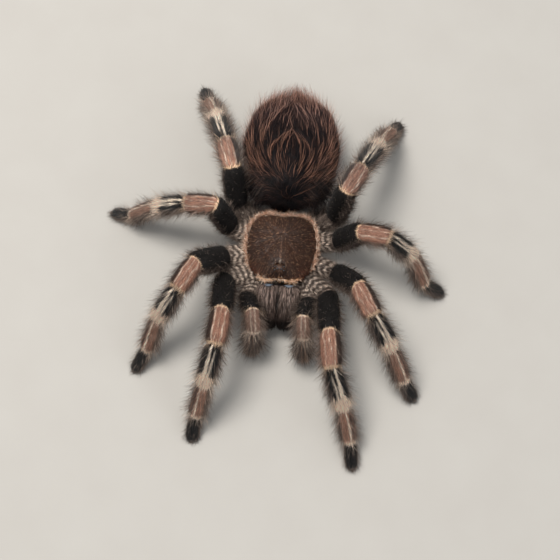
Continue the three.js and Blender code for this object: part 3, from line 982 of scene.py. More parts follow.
class Coat:
    """One coat of hair: its roots on a surface, and its own dice."""

    def __init__(self, surface, density, seed):
        """Random roots with a density, in hairs per square millimetre, given for each triangle."""
        self.dice = np.random.default_rng(seed)
        wanted = density * surface.areas / MM ** 2
        count = np.floor(wanted + self.dice.random(len(wanted))).astype(int)
        self.triangle = np.repeat(np.arange(len(wanted)), count)
        shares = self.dice.random((len(self.triangle), 2))
        outside = shares.sum(1) > 1
        shares[outside] = 1 - shares[outside]
        shares = np.column_stack([1 - shares.sum(1), shares])[..., None]
        corner = surface.triangles[self.triangle]
        self.points = (surface.points[corner] * shares).sum(1)
        self.normals = unit((surface.normals[corner] * shares).sum(1))

    def random(self, low=0, high=1):
        """A random value for each hair."""
        return self.dice.uniform(low, high, len(self.points))

    def rings(self, lie, shape, flow):
        """Three points around each section of each hair, from root to tip, and its tip."""
        normals = self.normals
        lie = flattened(lie, normals)
        point = self.points - normals * SINK
        sections = shape["sections"]
        column = np.ones((len(point), 1))
        measures = (shape[name] for name in ("length", "width", "lean", "droop", "sway"))
        length, width, lean, droop, sway = (column * np.reshape(value, (-1, 1)) for value in measures)
        rings = []
        for section in range(sections):
            share = section / sections
            aside = np.cross(normals, lie)
            angle = lean - droop * share
            heading = lie * np.cos(angle) + normals * np.sin(angle)
            heading = unit(heading + aside * sway * (share + 0.5 / sections))
            outward = normals * np.cos(angle) - lie * np.sin(angle)
            radius = width / 2 * (1 - share ** 1.6)
            rings += [point + aside * radius, point + outward * radius * 0.9, point - aside * radius]
            point = point + heading * length / sections
            if flow:
                lie, normals = flow(point)
        return rings + [point]

    def grow(self, name, lie, shape, marking, shade, unwrap, material, slot, flow=None):
        """Makes the coat as one mesh. Each hair is a closed-sided spike of three sides."""
        count, sections = len(self.points), shape["sections"]
        points = np.stack(self.rings(lie, shape, flow), 1)
        points[..., 2] = np.maximum(points[..., 2], FLOOR_GAP)
        each = sections * 3 + 1
        triangles = ((np.arange(count) * each)[:, None, None] + spike_faces(sections)[None]).reshape(-1, 3)
        mesh = mesh_from_arrays(name, points.reshape(-1, 3), triangles)

        along = np.append(np.repeat(np.arange(sections) / sections, 3), 1.0)
        write_floats(mesh, "along", np.tile(along, count))
        write_floats(mesh, "shade", np.repeat(np.clip(shade, 0, 1), each))
        write_colours(mesh, "marking", np.repeat(marking, each, axis=0))
        ring_side = np.append(np.tile([-0.5, 0.0, 0.5], sections), 0.0)
        patch = np.column_stack([ring_side, along - 0.5]) * UV_PATCH
        places = np.clip(unwrap, UV_PATCH, 1 - UV_PATCH)[:, None] + patch[None]
        layer = mesh.uv_layers.new(name="OFBake")
        layer.uv.foreach_set("vector", places.reshape(-1, 2)[triangles.ravel()].astype(np.float32).ravel())
        put(name, mesh, material, slot)


def rolled_out(turn, along):
    """An unwrap from a turn around a piece and a way along it."""
    return np.column_stack([turn / (2 * math.pi) + 0.5, along])


def plan_unwrap(points, node):
    """An unwrap seen from above, as large as a CAD node."""
    low, high = box(node)
    share = (points[:, :2] - low[:2]) / (high - low)[:2]
    return share * 0.98 + 0.01


def barrel_unwrap(points):
    """An unwrap around the long axis of the points' own box."""
    low, high = points.min(0), points.max(0)
    x, y, z = ((points - (low + high) / 2) / (high - low)).T
    return rolled_out(np.arctan2(x, z), y * 0.96 + 0.5)


# ---- the coat of the legs and palps

# For each segment: short hairs per square millimetre, their length in mm, and their lean.
SHORT_COAT = {
    "coxa": (12, 1.25, 0.5),
    "femur": (15, 1.25, 0.42),
    "patella": (16, 1.1, 0.4),
    "tibia": (15, 1.6, 0.5),
    "metatarsus": (15, 1.45, 0.5),
    "tarsus": (18, 1.0, 0.55),
}
BRUSHED_SHARE = 0.16  # of the short coat: hairs nearly twice as long that lie flat over the others

# Long hairs per square millimetre, their length in mm, and the share of those on top that is missing.
LONG_HAIR = {
    "coxa": (4.5, 3.4, 0.8),
    "femur": (5.0, 4.2, 0.93),
    "patella": (8.5, 4.6, 0.94),
    "tibia": (11.5, 5.4, 0.92),
    "metatarsus": (11.5, 5.0, 0.9),
    "tarsus": (9.0, 3.0, 0.85),
}
PALP_LONG_HAIR = 1.1  # against a leg's
PALP_FLUFF = 1.5
DARK_SHARE = 0.3  # of the long hair


def by_segment(values, column):
    return np.array([values[segment.name][column] for segment in segments])


class LimbCoat(Coat):
    """A coat on one limb, which knows where its roots lie along and around it."""

    def __init__(self, limb, surface, parts, values, seed):
        self.limb = limb
        self.first = segments.index(limb.segments[0])
        own = (parts >= self.first) & (parts < self.first + len(limb.segments))
        fluff = PALP_FLUFF if limb.is_palp else 1
        super().__init__(surface, by_segment(values, 0)[np.maximum(parts, 0)] * own * fluff, seed)
        self.spots = LimbSpots(self.points, parts[self.triangle])

    def keep(self, chosen):
        self.points, self.normals = self.points[chosen], self.normals[chosen]
        self.spots = self.spots.kept(chosen)

    def lie(self, wander):
        return self.spots.direction + np.cross(self.normals, self.spots.direction) * wander[:, None]

    def unwrap(self):
        lengths = np.array([segment.length for segment in self.limb.segments]) / self.limb.length
        starts = np.concatenate([[0], np.cumsum(lengths)[:-1]])
        number = self.spots.part - self.first
        return rolled_out(self.spots.turn, starts[number] + self.spots.share * lengths[number])


def add_limb_coat(limb, number, surface, parts, material):
    coat = LimbCoat(limb, surface, parts, SHORT_COAT, seed=[41, number])
    spots, scale = coat.spots, coat_scale[limb.name]
    brushed = coat.random() < BRUSHED_SHARE
    length = by_segment(SHORT_COAT, 1)[spots.part] * MM * scale * coat.random(0.7, 1.25)
    length = length * np.where(brushed, 1.9, 1)
    locks = 0.6 * spots.streaks(0.75 * MM, 4.5 * MM, 11) + 0.5 * spots.streaks(0.3 * MM, 3 * MM, 13)
    lean = by_segment(SHORT_COAT, 2)[spots.part] + 0.2 * locks + coat.random(-0.12, 0.12)
    lean = np.where(brushed, 0.24 + 0.1 * locks, lean) + 0.35 * smoothstep(0.1, -0.7, np.cos(spots.turn))
    wander = 0.2 * spots.streaks(0.9 * MM, 5 * MM, 12) + coat.random(-0.14, 0.14)
    shade = 0.5 + 0.34 * locks + coat.random(-0.26, 0.26)
    coat.grow(f"{limb.name}_coat", coat.lie(wander), cut(length, 0.17 * MM * scale, lean),
              limb_markings(spots, length * 0.45), shade, coat.unwrap(), material, "striped_coat")


def add_limb_long_hair(limb, number, surface, parts, material):
    coat = LimbCoat(limb, surface, parts, LONG_HAIR, seed=[42, number])
    missing = by_segment(LONG_HAIR, 2)[coat.spots.part] * (0.8 if limb.is_palp else 1)
    coat.keep(coat.random() > smoothstep(0.1, 0.6, np.cos(coat.spots.turn)) * missing)
    length = by_segment(LONG_HAIR, 1)[coat.spots.part] * MM * coat.random(0.45, 1.2)
    length = length * (PALP_LONG_HAIR if limb.is_palp else 1)
    shape = cut(length, coat.random(0.07, 0.12) * MM, coat.random(0.3, 1.05),
                droop=coat.random(0.0, 0.5), sway=coat.random(-0.3, 0.3), sections=2)
    greys = over(over(ASH, PALE_ASH, coat.random(0.2, 1.2)), SOOT, coat.random() < DARK_SHARE)
    marking = over(limb_markings(coat.spots, length * 0.3), greys, coat.random(0.2, 1.0))
    coat.grow(f"{limb.name}_long_hair", coat.lie(coat.random(-0.45, 0.45)), shape, marking,
              coat.random(), coat.unwrap(), material, "striped_coat")


def add_hip_hair(surface, parts, material):
    """Loose grey-brown hair on the hips of the rear legs, filling the gaps beside the abdomen."""
    hips = [number for number, segment in enumerate(segments)
            if segment.name == "coxa" and segment.limb.name.endswith("leg_4")]
    coat = Coat(surface, HIP_DENSITY * np.isin(parts, hips), seed=53)
    aside = np.sign(coat.points[:, 0] - trunk_middle[0]) * coat.random(-0.2, 1.1)
    lie = np.column_stack([aside, np.ones(len(aside)), coat.random(0.0, 0.6)])
    shape = cut(coat.random(2.5, 6.0) * MM, coat.random(0.08, 0.15) * MM, coat.random(0.2, 0.9),
                droop=coat.random(0.0, 0.5), sway=coat.random(-0.4, 0.4), sections=2)
    marking = over(SOOT, PALE_ASH, coat.random() ** 1.5)
    coat.grow("hip_hair", lie, shape, marking, coat.random(), barrel_unwrap(coat.points), material,
              "body_coat")


# ---- underside and spinnerets


def add_underside_coat(surface, parts, material):
    """Loose dark hair over the sides and floor of the trunk and the bases of the palps."""
    coat = Coat(surface, UNDERSIDE_DENSITY * (parts == TRUNK), seed=51)
    outward = flattened(coat.points - trunk_middle, coat.normals) + (0, -0.3, -0.4)
    length = coat.random(1.2, 2.6) * MM
    marking = over(SOOT, ASH, coat.random(0.1, 0.8))
    shape = cut(length, 0.14 * MM, coat.random(0.5, 0.9), droop=0.3)
    coat.grow("underside_coat", outward, shape, marking, coat.random(), barrel_unwrap(coat.points),
              material, "body_coat")


def add_spinneret_coat(surface, parts, material):
    coat = Coat(surface, SPINNERET_DENSITY * (parts == SPINNERET), seed=52)
    rearward = np.tile([0.0, 1.0, 0.1], (len(coat.points), 1))
    marking = over(PLUM_BROWN, RED_BROWN, coat.random(0, 0.6))
    shape = cut(coat.random(0.9, 1.6) * MM, 0.13 * MM, coat.random(0.3, 0.7))
    coat.grow("spinneret_coat", rearward, shape, marking, coat.random(), barrel_unwrap(coat.points),
              material, "abdomen_coat")


# ---- the coat of the abdomen

# Two pointed arches along the back, one within the other, in the abdomen's own half sizes.
OUTER_ARCH = {"middle": -0.2, "reach": 0.84, "half_width": 0.54}
INNER_ARCH = {"middle": -0.36, "reach": 0.42, "half_width": 0.36}


def arch_place(across, along, arch):
    """Places in an arch's own measure: how far out from its midline its edge is, and along it."""
    along = np.clip((along - arch["middle"]) / arch["reach"], -0.95, 0.95)
    return np.abs(across) / (arch["half_width"] * (1 - along ** 2) ** arch_power(along)), along


def arch_power(along):
    """An arch is round in front and pointed behind."""
    return np.where(along > 0, 1.0, 0.5)


def arch_slope(across, along, arch):
    """How far sideways a line of the arch runs for each step to the rear."""
    along = np.clip((along - arch["middle"]) / arch["reach"], -0.8, 0.95)
    return -2 * arch_power(along) * across * along / (1 - along ** 2) / arch["reach"]


def arch_ridges(points):
    """1 on the lines of the arches that the palest hair follows, 0 between them."""
    across, along, up = abdomen_places(points).T
    ridges = np.zeros(len(points))
    for arch, edges, width in ((OUTER_ARCH, (1.0, 1.35), 0.07), (INNER_ARCH, (0.55, 1.0), 0.09)):
        edge, place = arch_place(across, along, arch)
        for ridge in edges:
            ridges = np.maximum(ridges, bell((edge - ridge) / width) * (np.abs(place) < 0.94))
    return ridges * (up > -0.1) * (0.8 + 0.2 * drift(points, 4 * MM, 27))


def abdomen_flow(points):
    """The lie of the hair and the surface's normal: the hair runs back over the abdomen as the lines
    of a globe do, except along the arches."""
    places = abdomen_places(points)
    across, along, up = places.T
    normals = unit(places / abdomen_half)
    slope = -across * along / (1.25 - along ** 2)
    for arch in (OUTER_ARCH, INNER_ARCH):
        edge = arch_place(across, along, arch)[0]
        within = np.abs(along - arch["middle"]) < arch["reach"]
        inside = (1 - smoothstep(1.1, 1.7, edge)) * within * (up > 0)
        slope = slope * (1 - inside) + arch_slope(across, along, arch) * inside
    slope = np.clip(slope, -1.2, 1.2)
    wander = 0.16 * drift(points, 5 * MM, 21) + 0.14 * drift(points, 2.2 * MM, 22)
    wander = wander * (1 + 1.2 * smoothstep(-0.4, -0.8, along)) * (1 - 0.85 * arch_ridges(points))
    sideways = (slope + wander) * abdomen_half[0] / abdomen_half[1]
    lie = np.column_stack([sideways, np.ones(len(points)), np.zeros(len(points))])
    lie[:, 2] = -0.25 * smoothstep(0.7, 1.0, along)
    return flattened(lie, normals), normals


def abdomen_unwrap(points):
    across, along, up = abdomen_places(points).T
    return rolled_out(np.arctan2(across, up), np.clip(along * 0.45 + 0.5, 0.01, 0.99))


def add_abdomen_undercoat(surface, parts, material):
    coat = Coat(surface, UNDERCOAT_DENSITY * (parts == ABDOMEN), seed=61)
    points = coat.points
    front = smoothstep(-0.55, -0.9, abdomen_places(points)[:, 1])
    lean = 0.42 + 0.7 * front + 0.12 * drift(points, 1.6 * MM, 23) + coat.random(-0.15, 0.15)
    length = coat.random(1.6, 2.9) * MM * (1 + 0.6 * front)
    warm = np.clip(0.02 + 0.1 * drift(points, 2 * MM, 24), 0, 1)
    marking = over(abdomen_marking(points), RED_BROWN, warm)
    shade = 0.45 + 0.2 * drift(points, 1.3 * MM, 25) + coat.random(-0.3, 0.3)
    coat.grow("abdomen_undercoat", abdomen_flow(points)[0], cut(length, 0.16 * MM, lean, droop=0.35),
              marking, shade, abdomen_unwrap(points), material, "abdomen_coat")


def mantle_marking(coat):
    """Mostly near black in front, pinker behind, palest along the arches."""
    rear = smoothstep(-0.4, 0.7, abdomen_places(coat.points)[:, 1])
    pale = over(tone("ac7b64"), tone("c99f92"), rear * coat.random(0.3, 1.0))
    chance = 0.3 + 0.5 * rear + 0.7 * arch_ridges(coat.points)
    share = np.where(coat.random() < chance, coat.random(0.7, 1), coat.random(0, 0.25))
    return over(PLUM_BLACK, pale, share)


def add_abdomen_mantle(surface, parts, material):
    """Long curved strands, well apart and crossing, over the dark undercoat."""
    _, along, up = abdomen_places(surface.middles).T
    rear = smoothstep(0.1, 0.7, along)
    front = smoothstep(-0.35, -0.7, along)
    density = (parts == ABDOMEN) * (0.4 + 0.6 * rear + 0.5 * front + 1.9 * arch_ridges(surface.middles))
    coat = Coat(surface, density * np.where(up < -0.2, 0.5, 1), seed=62)
    lie, normals = abdomen_flow(coat.points)
    ridges = arch_ridges(coat.points)
    loose = 1 - 0.8 * ridges
    lie = lie + np.cross(normals, lie) * (coat.random(-0.6, 0.6) * loose)[:, None]
    length, width = coat.random(4.0, 8.5) * MM, coat.random(0.1, 0.16) * MM
    shape = cut(length, width * (1 + 0.2 * ridges), coat.random(0.3, 0.55),
                droop=coat.random(0.35, 0.6), sway=coat.random(-0.6, 0.6) * loose, sections=5)
    coat.grow("abdomen_mantle", lie, shape, mantle_marking(coat), coat.random(),
              abdomen_unwrap(coat.points), material, "abdomen_coat", flow=abdomen_flow)


def add_abdomen_guard_hair(surface, parts, material):
    """Sparse pinkish hair that stands off all round, longest at the rear, and dark hair that splays
    forwards from the shoulders over the waist and the rear hips."""
    across, along, up = abdomen_places(surface.middles).T
    flanks = smoothstep(0.6, 1.0, np.abs(across)) * smoothstep(-0.5, 0.1, along) * 2.0
    density = 0.06 + np.maximum(flanks, smoothstep(0.3, 0.9, along) * 4.4)
    density = density + 6.0 * shoulder_closeness(surface.middles)
    coat = Coat(surface, density * (parts == ABDOMEN) * np.where(up < -0.4, 0.4, 1), seed=63)
    points = coat.points
    shoulder = shoulder_closeness(points)
    rear = smoothstep(0.2, 0.95, abdomen_places(points)[:, 1])
    length = coat.random(3.8, 7.0) * MM * (1 + 0.2 * rear + 0.1 * shoulder)
    width = coat.random(0.07, 0.11) * MM * (1 + 0.4 * shoulder)
    shape = cut(length, width, coat.random(0.4, 1.0),
                droop=coat.random(0.0, 0.5), sway=coat.random(-0.35, 0.35), sections=3)
    marking = painted(
        tone("b08472"),
        (RED_BROWN, coat.random()),
        (PLUM_BLACK, coat.random() < 0.35 - 0.25 * rear),
        (ASH, shoulder),
        (PLUM_BLACK, shoulder * (coat.random() < 0.85)),
    )
    splayed = unit((points - abdomen_middle) * (1, 1, 0))
    coat.grow("abdomen_guard_hair", over(abdomen_flow(points)[0], splayed, shoulder), shape, marking,
              coat.random(), abdomen_unwrap(points), material, "abdomen_coat")


def shoulder_closeness(points):
    """1 on the abdomen's front flanks, 0 elsewhere and where the waist is."""
    across, along, up = abdomen_places(points).T
    front = smoothstep(-0.3, -0.7, along) * smoothstep(0.2, 0.45, np.abs(across))
    return front * smoothstep(0.75, 0.45, up) * smoothstep(-0.75, -0.5, up)


# ---- carapace

SHELL_SHARE = 0.935  # the bare shell's size inside the fringe
FOVEA_PLACE = 0.36  # of the length, from the rear
fovea = np.array([carapace_middle[0], carapace_high[1] - FOVEA_PLACE * carapace_size[1]])
GROOVES = [math.radians(angle) for angle in (34, 64, 94, 124)]  # from straight ahead, on both sides
GROOVE_DEPTH = 0.14 * MM
PIT_DEPTH = 0.9 * MM
RIM_RISE = 1.5 * MM
FRONT_TAPER = 0.13  # share of its width that the shell loses at its front edge
FRONT_NOTCH = 0.7 * MM  # how far the front edge is drawn back in the middle


def carapace_dents(points):
    """How deep the shell is drawn in at each point: the thoracic pit and the grooves that ray from it."""
    x, y = (points[:, :2] - fovea).T
    distance = np.hypot(x, y)
    angle = np.arctan2(np.abs(x), -y)
    depth = PIT_DEPTH * bell(x / (1.05 * MM), (y + 0.12 * x ** 2 / MM) / (0.38 * MM))
    reach = smoothstep(1.0 * MM, 3.2 * MM, distance) * (1 - smoothstep(8.5 * MM, 11.5 * MM, distance))
    for groove in GROOVES:
        depth += GROOVE_DEPTH * reach * bell((angle - groove) * distance / (0.8 * MM))
    return depth


def carapace_mesh():
    mesh = softened_copy("carapace", "carapace_shell", voxel=0.28 * MM, rounds=6)
    points = positions(mesh)
    middle = carapace_middle[:2]
    upward = np.clip(normals_of(mesh)[:, 2], 0, 1)
    points[:, :2] = middle + (points[:, :2] - middle) * SHELL_SHARE
    across = points[:, 0] - middle[0]
    front = smoothstep(carapace_low[1] + 9.0 * MM, carapace_low[1] + 1.0 * MM, points[:, 1])
    points[:, 0] -= across * FRONT_TAPER * front
    points[:, 1] += FRONT_NOTCH * front ** 4 * bell(across / (3.2 * MM))
    points[:, 2] -= (0.25 * MM + carapace_dents(points)) * upward
    move_points(mesh, points)
    return mesh


def velvet_marking(coat):
    """Brown velvet combed out from the pit in paler and darker streaks, tan towards the rim and rust
    at the front corners, with a pale line and tuft on the way to the eyes. Also says which hairs are
    pale specks."""
    points = coat.points
    x, y = (points[:, :2] - fovea).T
    forward = -y
    rays = np.column_stack([np.arctan2(x, y) * 26, np.hypot(x, y) / (3 * MM), np.zeros(len(points))])
    streaks = 0.6 * drift(rays, 1.0, 31) + 0.6 * drift(points, 0.7 * MM, 32)
    closeness = rim_closeness(points)
    specks = coat.random() < 0.06 + 0.2 * smoothstep(0.3, 1.0, closeness)
    ahead = smoothstep(8 * MM, 14 * MM, forward) * smoothstep(4 * MM, 8 * MM, np.abs(x))
    tuft_ahead = fovea[1] - middle_of("eye_tubercle")[1] - 2.8 * MM
    tuft = np.exp(-((x / (0.26 * MM)) ** 2) - ((forward - tuft_ahead) / (1.0 * MM)) ** 4)
    colour = painted(
        SHELL_DARK,
        (tone("6c3f28"), np.clip(0.3 + 0.7 * streaks, 0, 1)),
        (tone("b48a6b"), specks * 0.8),
        (RUST, ahead * coat.random(0, 0.8)),
        (TAN, bell(x / (0.17 * MM)) * (forward > 0) * 0.7),
        (CREAM, tuft),
        (IVORY, bell(x / (0.55 * MM), (forward - 0.45 * MM) / (0.2 * MM)) * 0.5),
        (ROSE_BROWN, bell(x / (1.5 * MM), (forward + 0.9 * MM) / (0.45 * MM)) * 0.5),
        (TAN, smoothstep(0.6, 1.0, closeness) * coat.random(0.1, 0.8)),
    )
    return colour, specks


def height_over_rim(points):
    """Height above the shell's edge, which stands higher over the jaws."""
    front = smoothstep(carapace_low[1] + 4.6 * MM, carapace_low[1], points[:, 1])
    return points[:, 2] - carapace_low[2] - RIM_RISE * front


def rim_closeness(points):
    """0 in the middle of the carapace, 1 at the shell's edge."""
    return 1 - smoothstep(0, 2.6 * MM, height_over_rim(points))


def add_carapace_velvet(surface, material):
    up = smoothstep(0.1, 0.4, surface.facing[:, 2])
    out_of_pit = bell(carapace_dents(surface.middles) / (0.3 * MM)) >= 0.3
    coat = Coat(surface, VELVET_DENSITY * up * out_of_pit, seed=71)
    points = coat.points
    ray = np.column_stack([points[:, :2] - fovea, np.zeros(len(points))])
    lie = unit(ray) + np.column_stack([coat.random(-0.35, 0.35) for _ in range(3)])
    marking, specks = velvet_marking(coat)
    lean = 0.5 + 0.25 * drift(points, 0.8 * MM, 33) + coat.random(-0.15, 0.15)
    length = coat.random(0.45, 0.95) * MM * (1 + 0.6 * smoothstep(0.7, 1, rim_closeness(points)))
    shape = cut(length * (1 + 0.4 * specks), 0.095 * MM * (1 + 0.9 * specks), lean)
    shade = 0.42 + 0.35 * drift(points, 0.6 * MM, 34) + coat.random(-0.5, 0.5)
    coat.grow("carapace_velvet", lie, shape, marking, shade, plan_unwrap(points, "carapace"), material,
              "carapace")


def add_carapace_fringe(surface, material):
    """Ragged pale hair all round the shell's edge, golden over the jaws and parted in the middle there."""
    middle, facing_up = surface.middles, surface.facing[:, 2]
    height = height_over_rim(middle)
    front = front_closeness(middle)
    rear = smoothstep(carapace_high[1] - 3.0 * MM, carapace_high[1] - 1.5 * MM, middle[:, 1])
    edge = (height > (0.5 * front - 0.3) * MM) & (height < (1.0 + 0.5 * front + 0.45 * rear) * MM)
    edge = edge & (facing_up > -0.4) & (facing_up < 0.9 + 0.06 * rear)
    parting = 1 - front * np.exp(-(((middle[:, 0] - carapace_middle[0]) / (1.3 * MM)) ** 4))
    coat = Coat(surface, FRINGE_DENSITY * edge * parting * (1 + 0.6 * front + 0.5 * rear), seed=72)
    points = coat.points
    along_rim = np.cross(SKYWARD, unit(coat.normals * (1, 1, 0)))
    lie = along_rim * coat.random(-1, 1)[:, None] + SKYWARD * coat.random(-0.2, 0.8)[:, None]
    front = front_closeness(points)
    marking = painted(
        TAN,
        (GOLD_TAN, front * 0.7),
        (ROSE_BROWN, coat.random(0, 0.7) * (1 - 0.7 * front)),
        (CREAM, (coat.random() < 0.35) * 0.8),
    )
    locks = 1 + 0.45 * drift(points, 1.6 * MM, 36)
    shape = cut(coat.random(1.0, 2.6) * MM * locks, coat.random(0.1, 0.16) * MM,
                coat.random(0.55, 1.35), droop=coat.random(0.0, 0.6), sections=2)
    shade = 0.56 + 0.2 * drift(points, 1.2 * MM, 35) + coat.random(-0.4, 0.4)
    coat.grow("carapace_fringe", lie, shape, marking, shade, plan_unwrap(points, "carapace"), material,
              "carapace")


def front_closeness(points):
    """1 along the carapace's front edge, 0 a few millimetres behind it."""
    return smoothstep(carapace_low[1] + 3.2 * MM, carapace_low[1] + 1.6 * MM, points[:, 1])


def add_carapace():
    mesh = carapace_mesh()
    put("carapace_shell", mesh, shell_finish(), "carapace", "carapace")
    surface = Surface(mesh)
    add_carapace_velvet(surface, hair_finish("carapace_velvet", 0.6, root=0.45, sheen=0.03))
    add_carapace_fringe(surface, hair_finish("carapace_fringe", 0.5, root=0.55, tip=1.2))


# ---- eyes

# For each pair of eyes: half their spacing, how far ahead of the mound's middle, and their radius.
EYES = ((0.62, 0.55, 0.34), (1.42, 0.75, 0.31), (0.95, -0.45, 0.2), (1.5, -0.3, 0.25))
EYE_STANDING = 0.35  # share of its radius that an eye's middle stands out of the mound


def eye_places(mound):
    """The middle, outward direction and radius of each eye, set on the mound's own surface."""
    centre = middle_of("eye_tubercle")
    places = []
    for half_spacing, ahead, radius in EYES:
        for side in SIDES.values():
            wanted = centre[:2] + np.array([side * half_spacing, -ahead]) * MM
            near = np.linalg.norm(mound.middles[:, :2] - wanted, axis=1) + (mound.facing[:, 2] < 0) * 1.0
            best = near.argmin()
            outward = unit(mound.middles[best] - centre + (0, 0, 1.0 * MM))
            middle = mound.middles[best] + outward * radius * EYE_STANDING * MM
            places.append((middle, outward, radius * MM))
    return places


def add_eyes():
    mound = softened_copy("eye_tubercle", "eye_mound", voxel=0.09 * MM, rounds=5, inset=0.06 * MM)
    surface = Surface(mound)
    places = eye_places(surface)
    points, normals = positions(mound), normals_of(mound)
    for middle, _, radius in places:
        away = np.linalg.norm(points - middle, axis=1)
        rim = bell((away - radius * 1.12) / (0.07 * MM))
        points = points + normals * (rim * 0.07 * MM)[:, None]
    move_points(mound, points)
    put("eye_mound", mound, shell_finish(), "carapace")

    balls = Form()
    clear = np.ones(len(surface.middles))
    for middle, _, radius in places:
        balls.add_ball(middle, np.full(3, radius), around=24, along=14)
        clear *= np.linalg.norm(surface.middles - middle, axis=1) > radius * 1.25
    eyes = balls.mesh("eyes")
    eyes.shade_smooth()
    put("eyes", eyes, eye_finish(), "eye_gloss", "eye_tubercle")

    coat = Coat(surface, EYE_MOUND_DENSITY * clear, seed=73)
    lie = coat.normals * (1, 1, 0) + (0, -0.2, 0)
    marking = over(SHELL_BROWN, TAN, coat.random() ** 3)
    coat.grow("eye_mound_velvet", lie, cut(coat.random(0.4, 0.8) * MM, 0.08 * MM, 0.5), marking,
              coat.random(), plan_unwrap(coat.points, "eye_tubercle"), hair_finish("eye_mound_velvet"),
              "carapace")


# ---- jaws, fangs and claws

JAW_INSET = 0.3 * MM
JAW_BLUNTNESS = 0.27  # how much fuller the ends are than a ball's
JAW_CLOSING = 0.55 * MM  # how far the jaws' ends lean together
BARE_BASE = 0.125  # share of the jaw's length that is bare behind


def jaw_places(points, side_name):
    """Places on a jaw: share from base to tip, across from the midline side (-1) to the flank (1), up."""
    low, high = box(f"{side_name}_chelicera")
    share = (high[1] - points[:, 1]) / (high[1] - low[1])
    across, _, up = ((points - (low + high) / 2) / (high - low) * 2).T
    return share, across * SIDES[side_name], up


def bare_reach(across):
    """How far out from the base the jaw's shell is bare: a small crescent in the middle."""
    return BARE_BASE - 0.28 * across ** 2


def blunted(points, side_name):
    """The jaw with its ends filled out, so that it stays broad up to the fang."""
    share = jaw_places(points, side_name)[0]
    fullness = np.clip(1 - (2 * share - 1) ** 2, 0.06, 1) ** -JAW_BLUNTNESS
    middle = middle_of(f"{side_name}_chelicera")[0]
    wide = points.copy()
    wide[:, 0] = middle + (points[:, 0] - middle) * fullness
    wide[:, 0] -= SIDES[side_name] * JAW_CLOSING * smoothstep(0.4, 1.0, share)
    return wide


def jaw_marking(coat, side_name):
    """Grey-brown with long pale streaks, with painted shade between the jaws and towards the tips."""
    points = coat.points + (0, -0.9 * MM, 0)  # a hair is coloured for the place it reaches
    share, across, _ = jaw_places(points, side_name)
    flat = points / (0.42 * MM, 4 * MM, 2 * MM)
    streaks = smoothstep(-0.5, 0.6, drift(flat, 1.0, 81)) * 0.75 + coat.random(-0.15, 0.35)
    return painted(
        tone("4a3b34"),
        (tone("cfb5a7"), np.clip(streaks, 0, 1)),
        # Painted shade: darker on the midline side, where the two jaws meet.
        (SOOT, smoothstep(-0.6, -0.95, across) * 0.85),
        # Painted shade: darker from the middle towards the tip, and darkest at the tip.
        (tone("35251e"), smoothstep(0.35, 0.8, share) * 0.75),
        (tone("1a100b"), smoothstep(0.74, 0.9, share)),
    )


def add_jaw(side_name, material, shell):
    node = f"{side_name}_chelicera"
    mesh = softened_copy(node, f"{side_name}_jaw", voxel=0.25 * MM, rounds=6, inset=JAW_INSET)
    move_points(mesh, blunted(positions(mesh), side_name))
    surface = Surface(mesh)
    share, across, up = jaw_places(surface.points, side_name)
    bare_edge = bare_reach(across)
    # Marks the bare base, where the jaw shell is glossier and also carries its painted highlight.
    write_floats(mesh, "bare_glint", smoothstep(bare_edge + 0.02, bare_edge - 0.02, share) * (up > 0.2))
    put(f"{side_name}_jaw", mesh, shell, "body_coat", node)

    share, across, up = jaw_places(surface.middles, side_name)
    covered = smoothstep(bare_reach(across) - 0.02, bare_reach(across) + 0.01, share)
    seed = [82, SIDES[side_name] + 1]
    coat = Coat(surface, JAW_DENSITY * np.where(up < 0.0, 1, covered), seed)
    points = coat.points
    drawn_out = points * (1, 0.3, 1)
    lie = np.tile([0.0, -1.0, -0.2], (len(points), 1))
    lie[:, 0] = 0.25 * drift(drawn_out, 1.1 * MM, 83) + coat.random(-0.12, 0.12)
    share = jaw_places(points, side_name)[0]
    lean = 0.28 + 0.15 * drift(drawn_out, 0.9 * MM, 84) + coat.random(-0.1, 0.1)
    length = coat.random(1.6, 3.0) * MM * (1 - 0.35 * smoothstep(0.75, 1.0, share))
    shade = 0.5 + 0.25 * drift(points * (1, 0.25, 1), 0.6 * MM, 85) + coat.random(-0.35, 0.35)
    x, _, z = (points - middle_of(node)).T
    coat.grow(f"{side_name}_jaw_coat", lie, cut(length, 0.14 * MM, lean, droop=0.45, sections=2),
              jaw_marking(coat, side_name), shade, rolled_out(np.arctan2(x, z), share * 0.9 + 0.05),
              material, "body_coat")


FANG_RADIUS = 1.1 * MM
FANG_TIP_RADIUS = 0.12 * MM
# Guides of the left fang's bend, from its root inside the jaw down, back and up to its tip.
FANG_GUIDES = np.array([(0, 0.15, 2.7), (0, -1.55, -0.5), (-0.3, 3.05, -1.7), (-0.9, 8.15, 0.5)]) * MM


def add_fang(side_name, material):
    """A fang hinged in the end of its jaw and folded back under it."""
    low, high = box(f"{side_name}_fang")
    side = SIDES[side_name]
    outer_edge = high[0] if side > 0 else low[0]
    hinge = np.array([outer_edge - side * FANG_RADIUS, low[1] + 0.4 * MM, low[2] + 1.55 * MM])
    share = np.linspace(0, 1, 32)
    pull = [(1 - share) ** 3, 3 * share * (1 - share) ** 2, 3 * share ** 2 * (1 - share), share ** 3]
    spine = hinge + np.stack(pull, 1) @ (FANG_GUIDES * (side, 1, 1))
    radii = FANG_RADIUS + (FANG_TIP_RADIUS - FANG_RADIUS) * share ** 1.2
    form = Form()
    form.add_tube(tube_rings(spine, radii, sides=24, hint=(1, 0, 0)))
    mesh = form.mesh(f"{side_name}_fang")
    mesh.shade_smooth()
    put(f"{side_name}_horn_fang", mesh, material, "horn", f"{side_name}_fang")


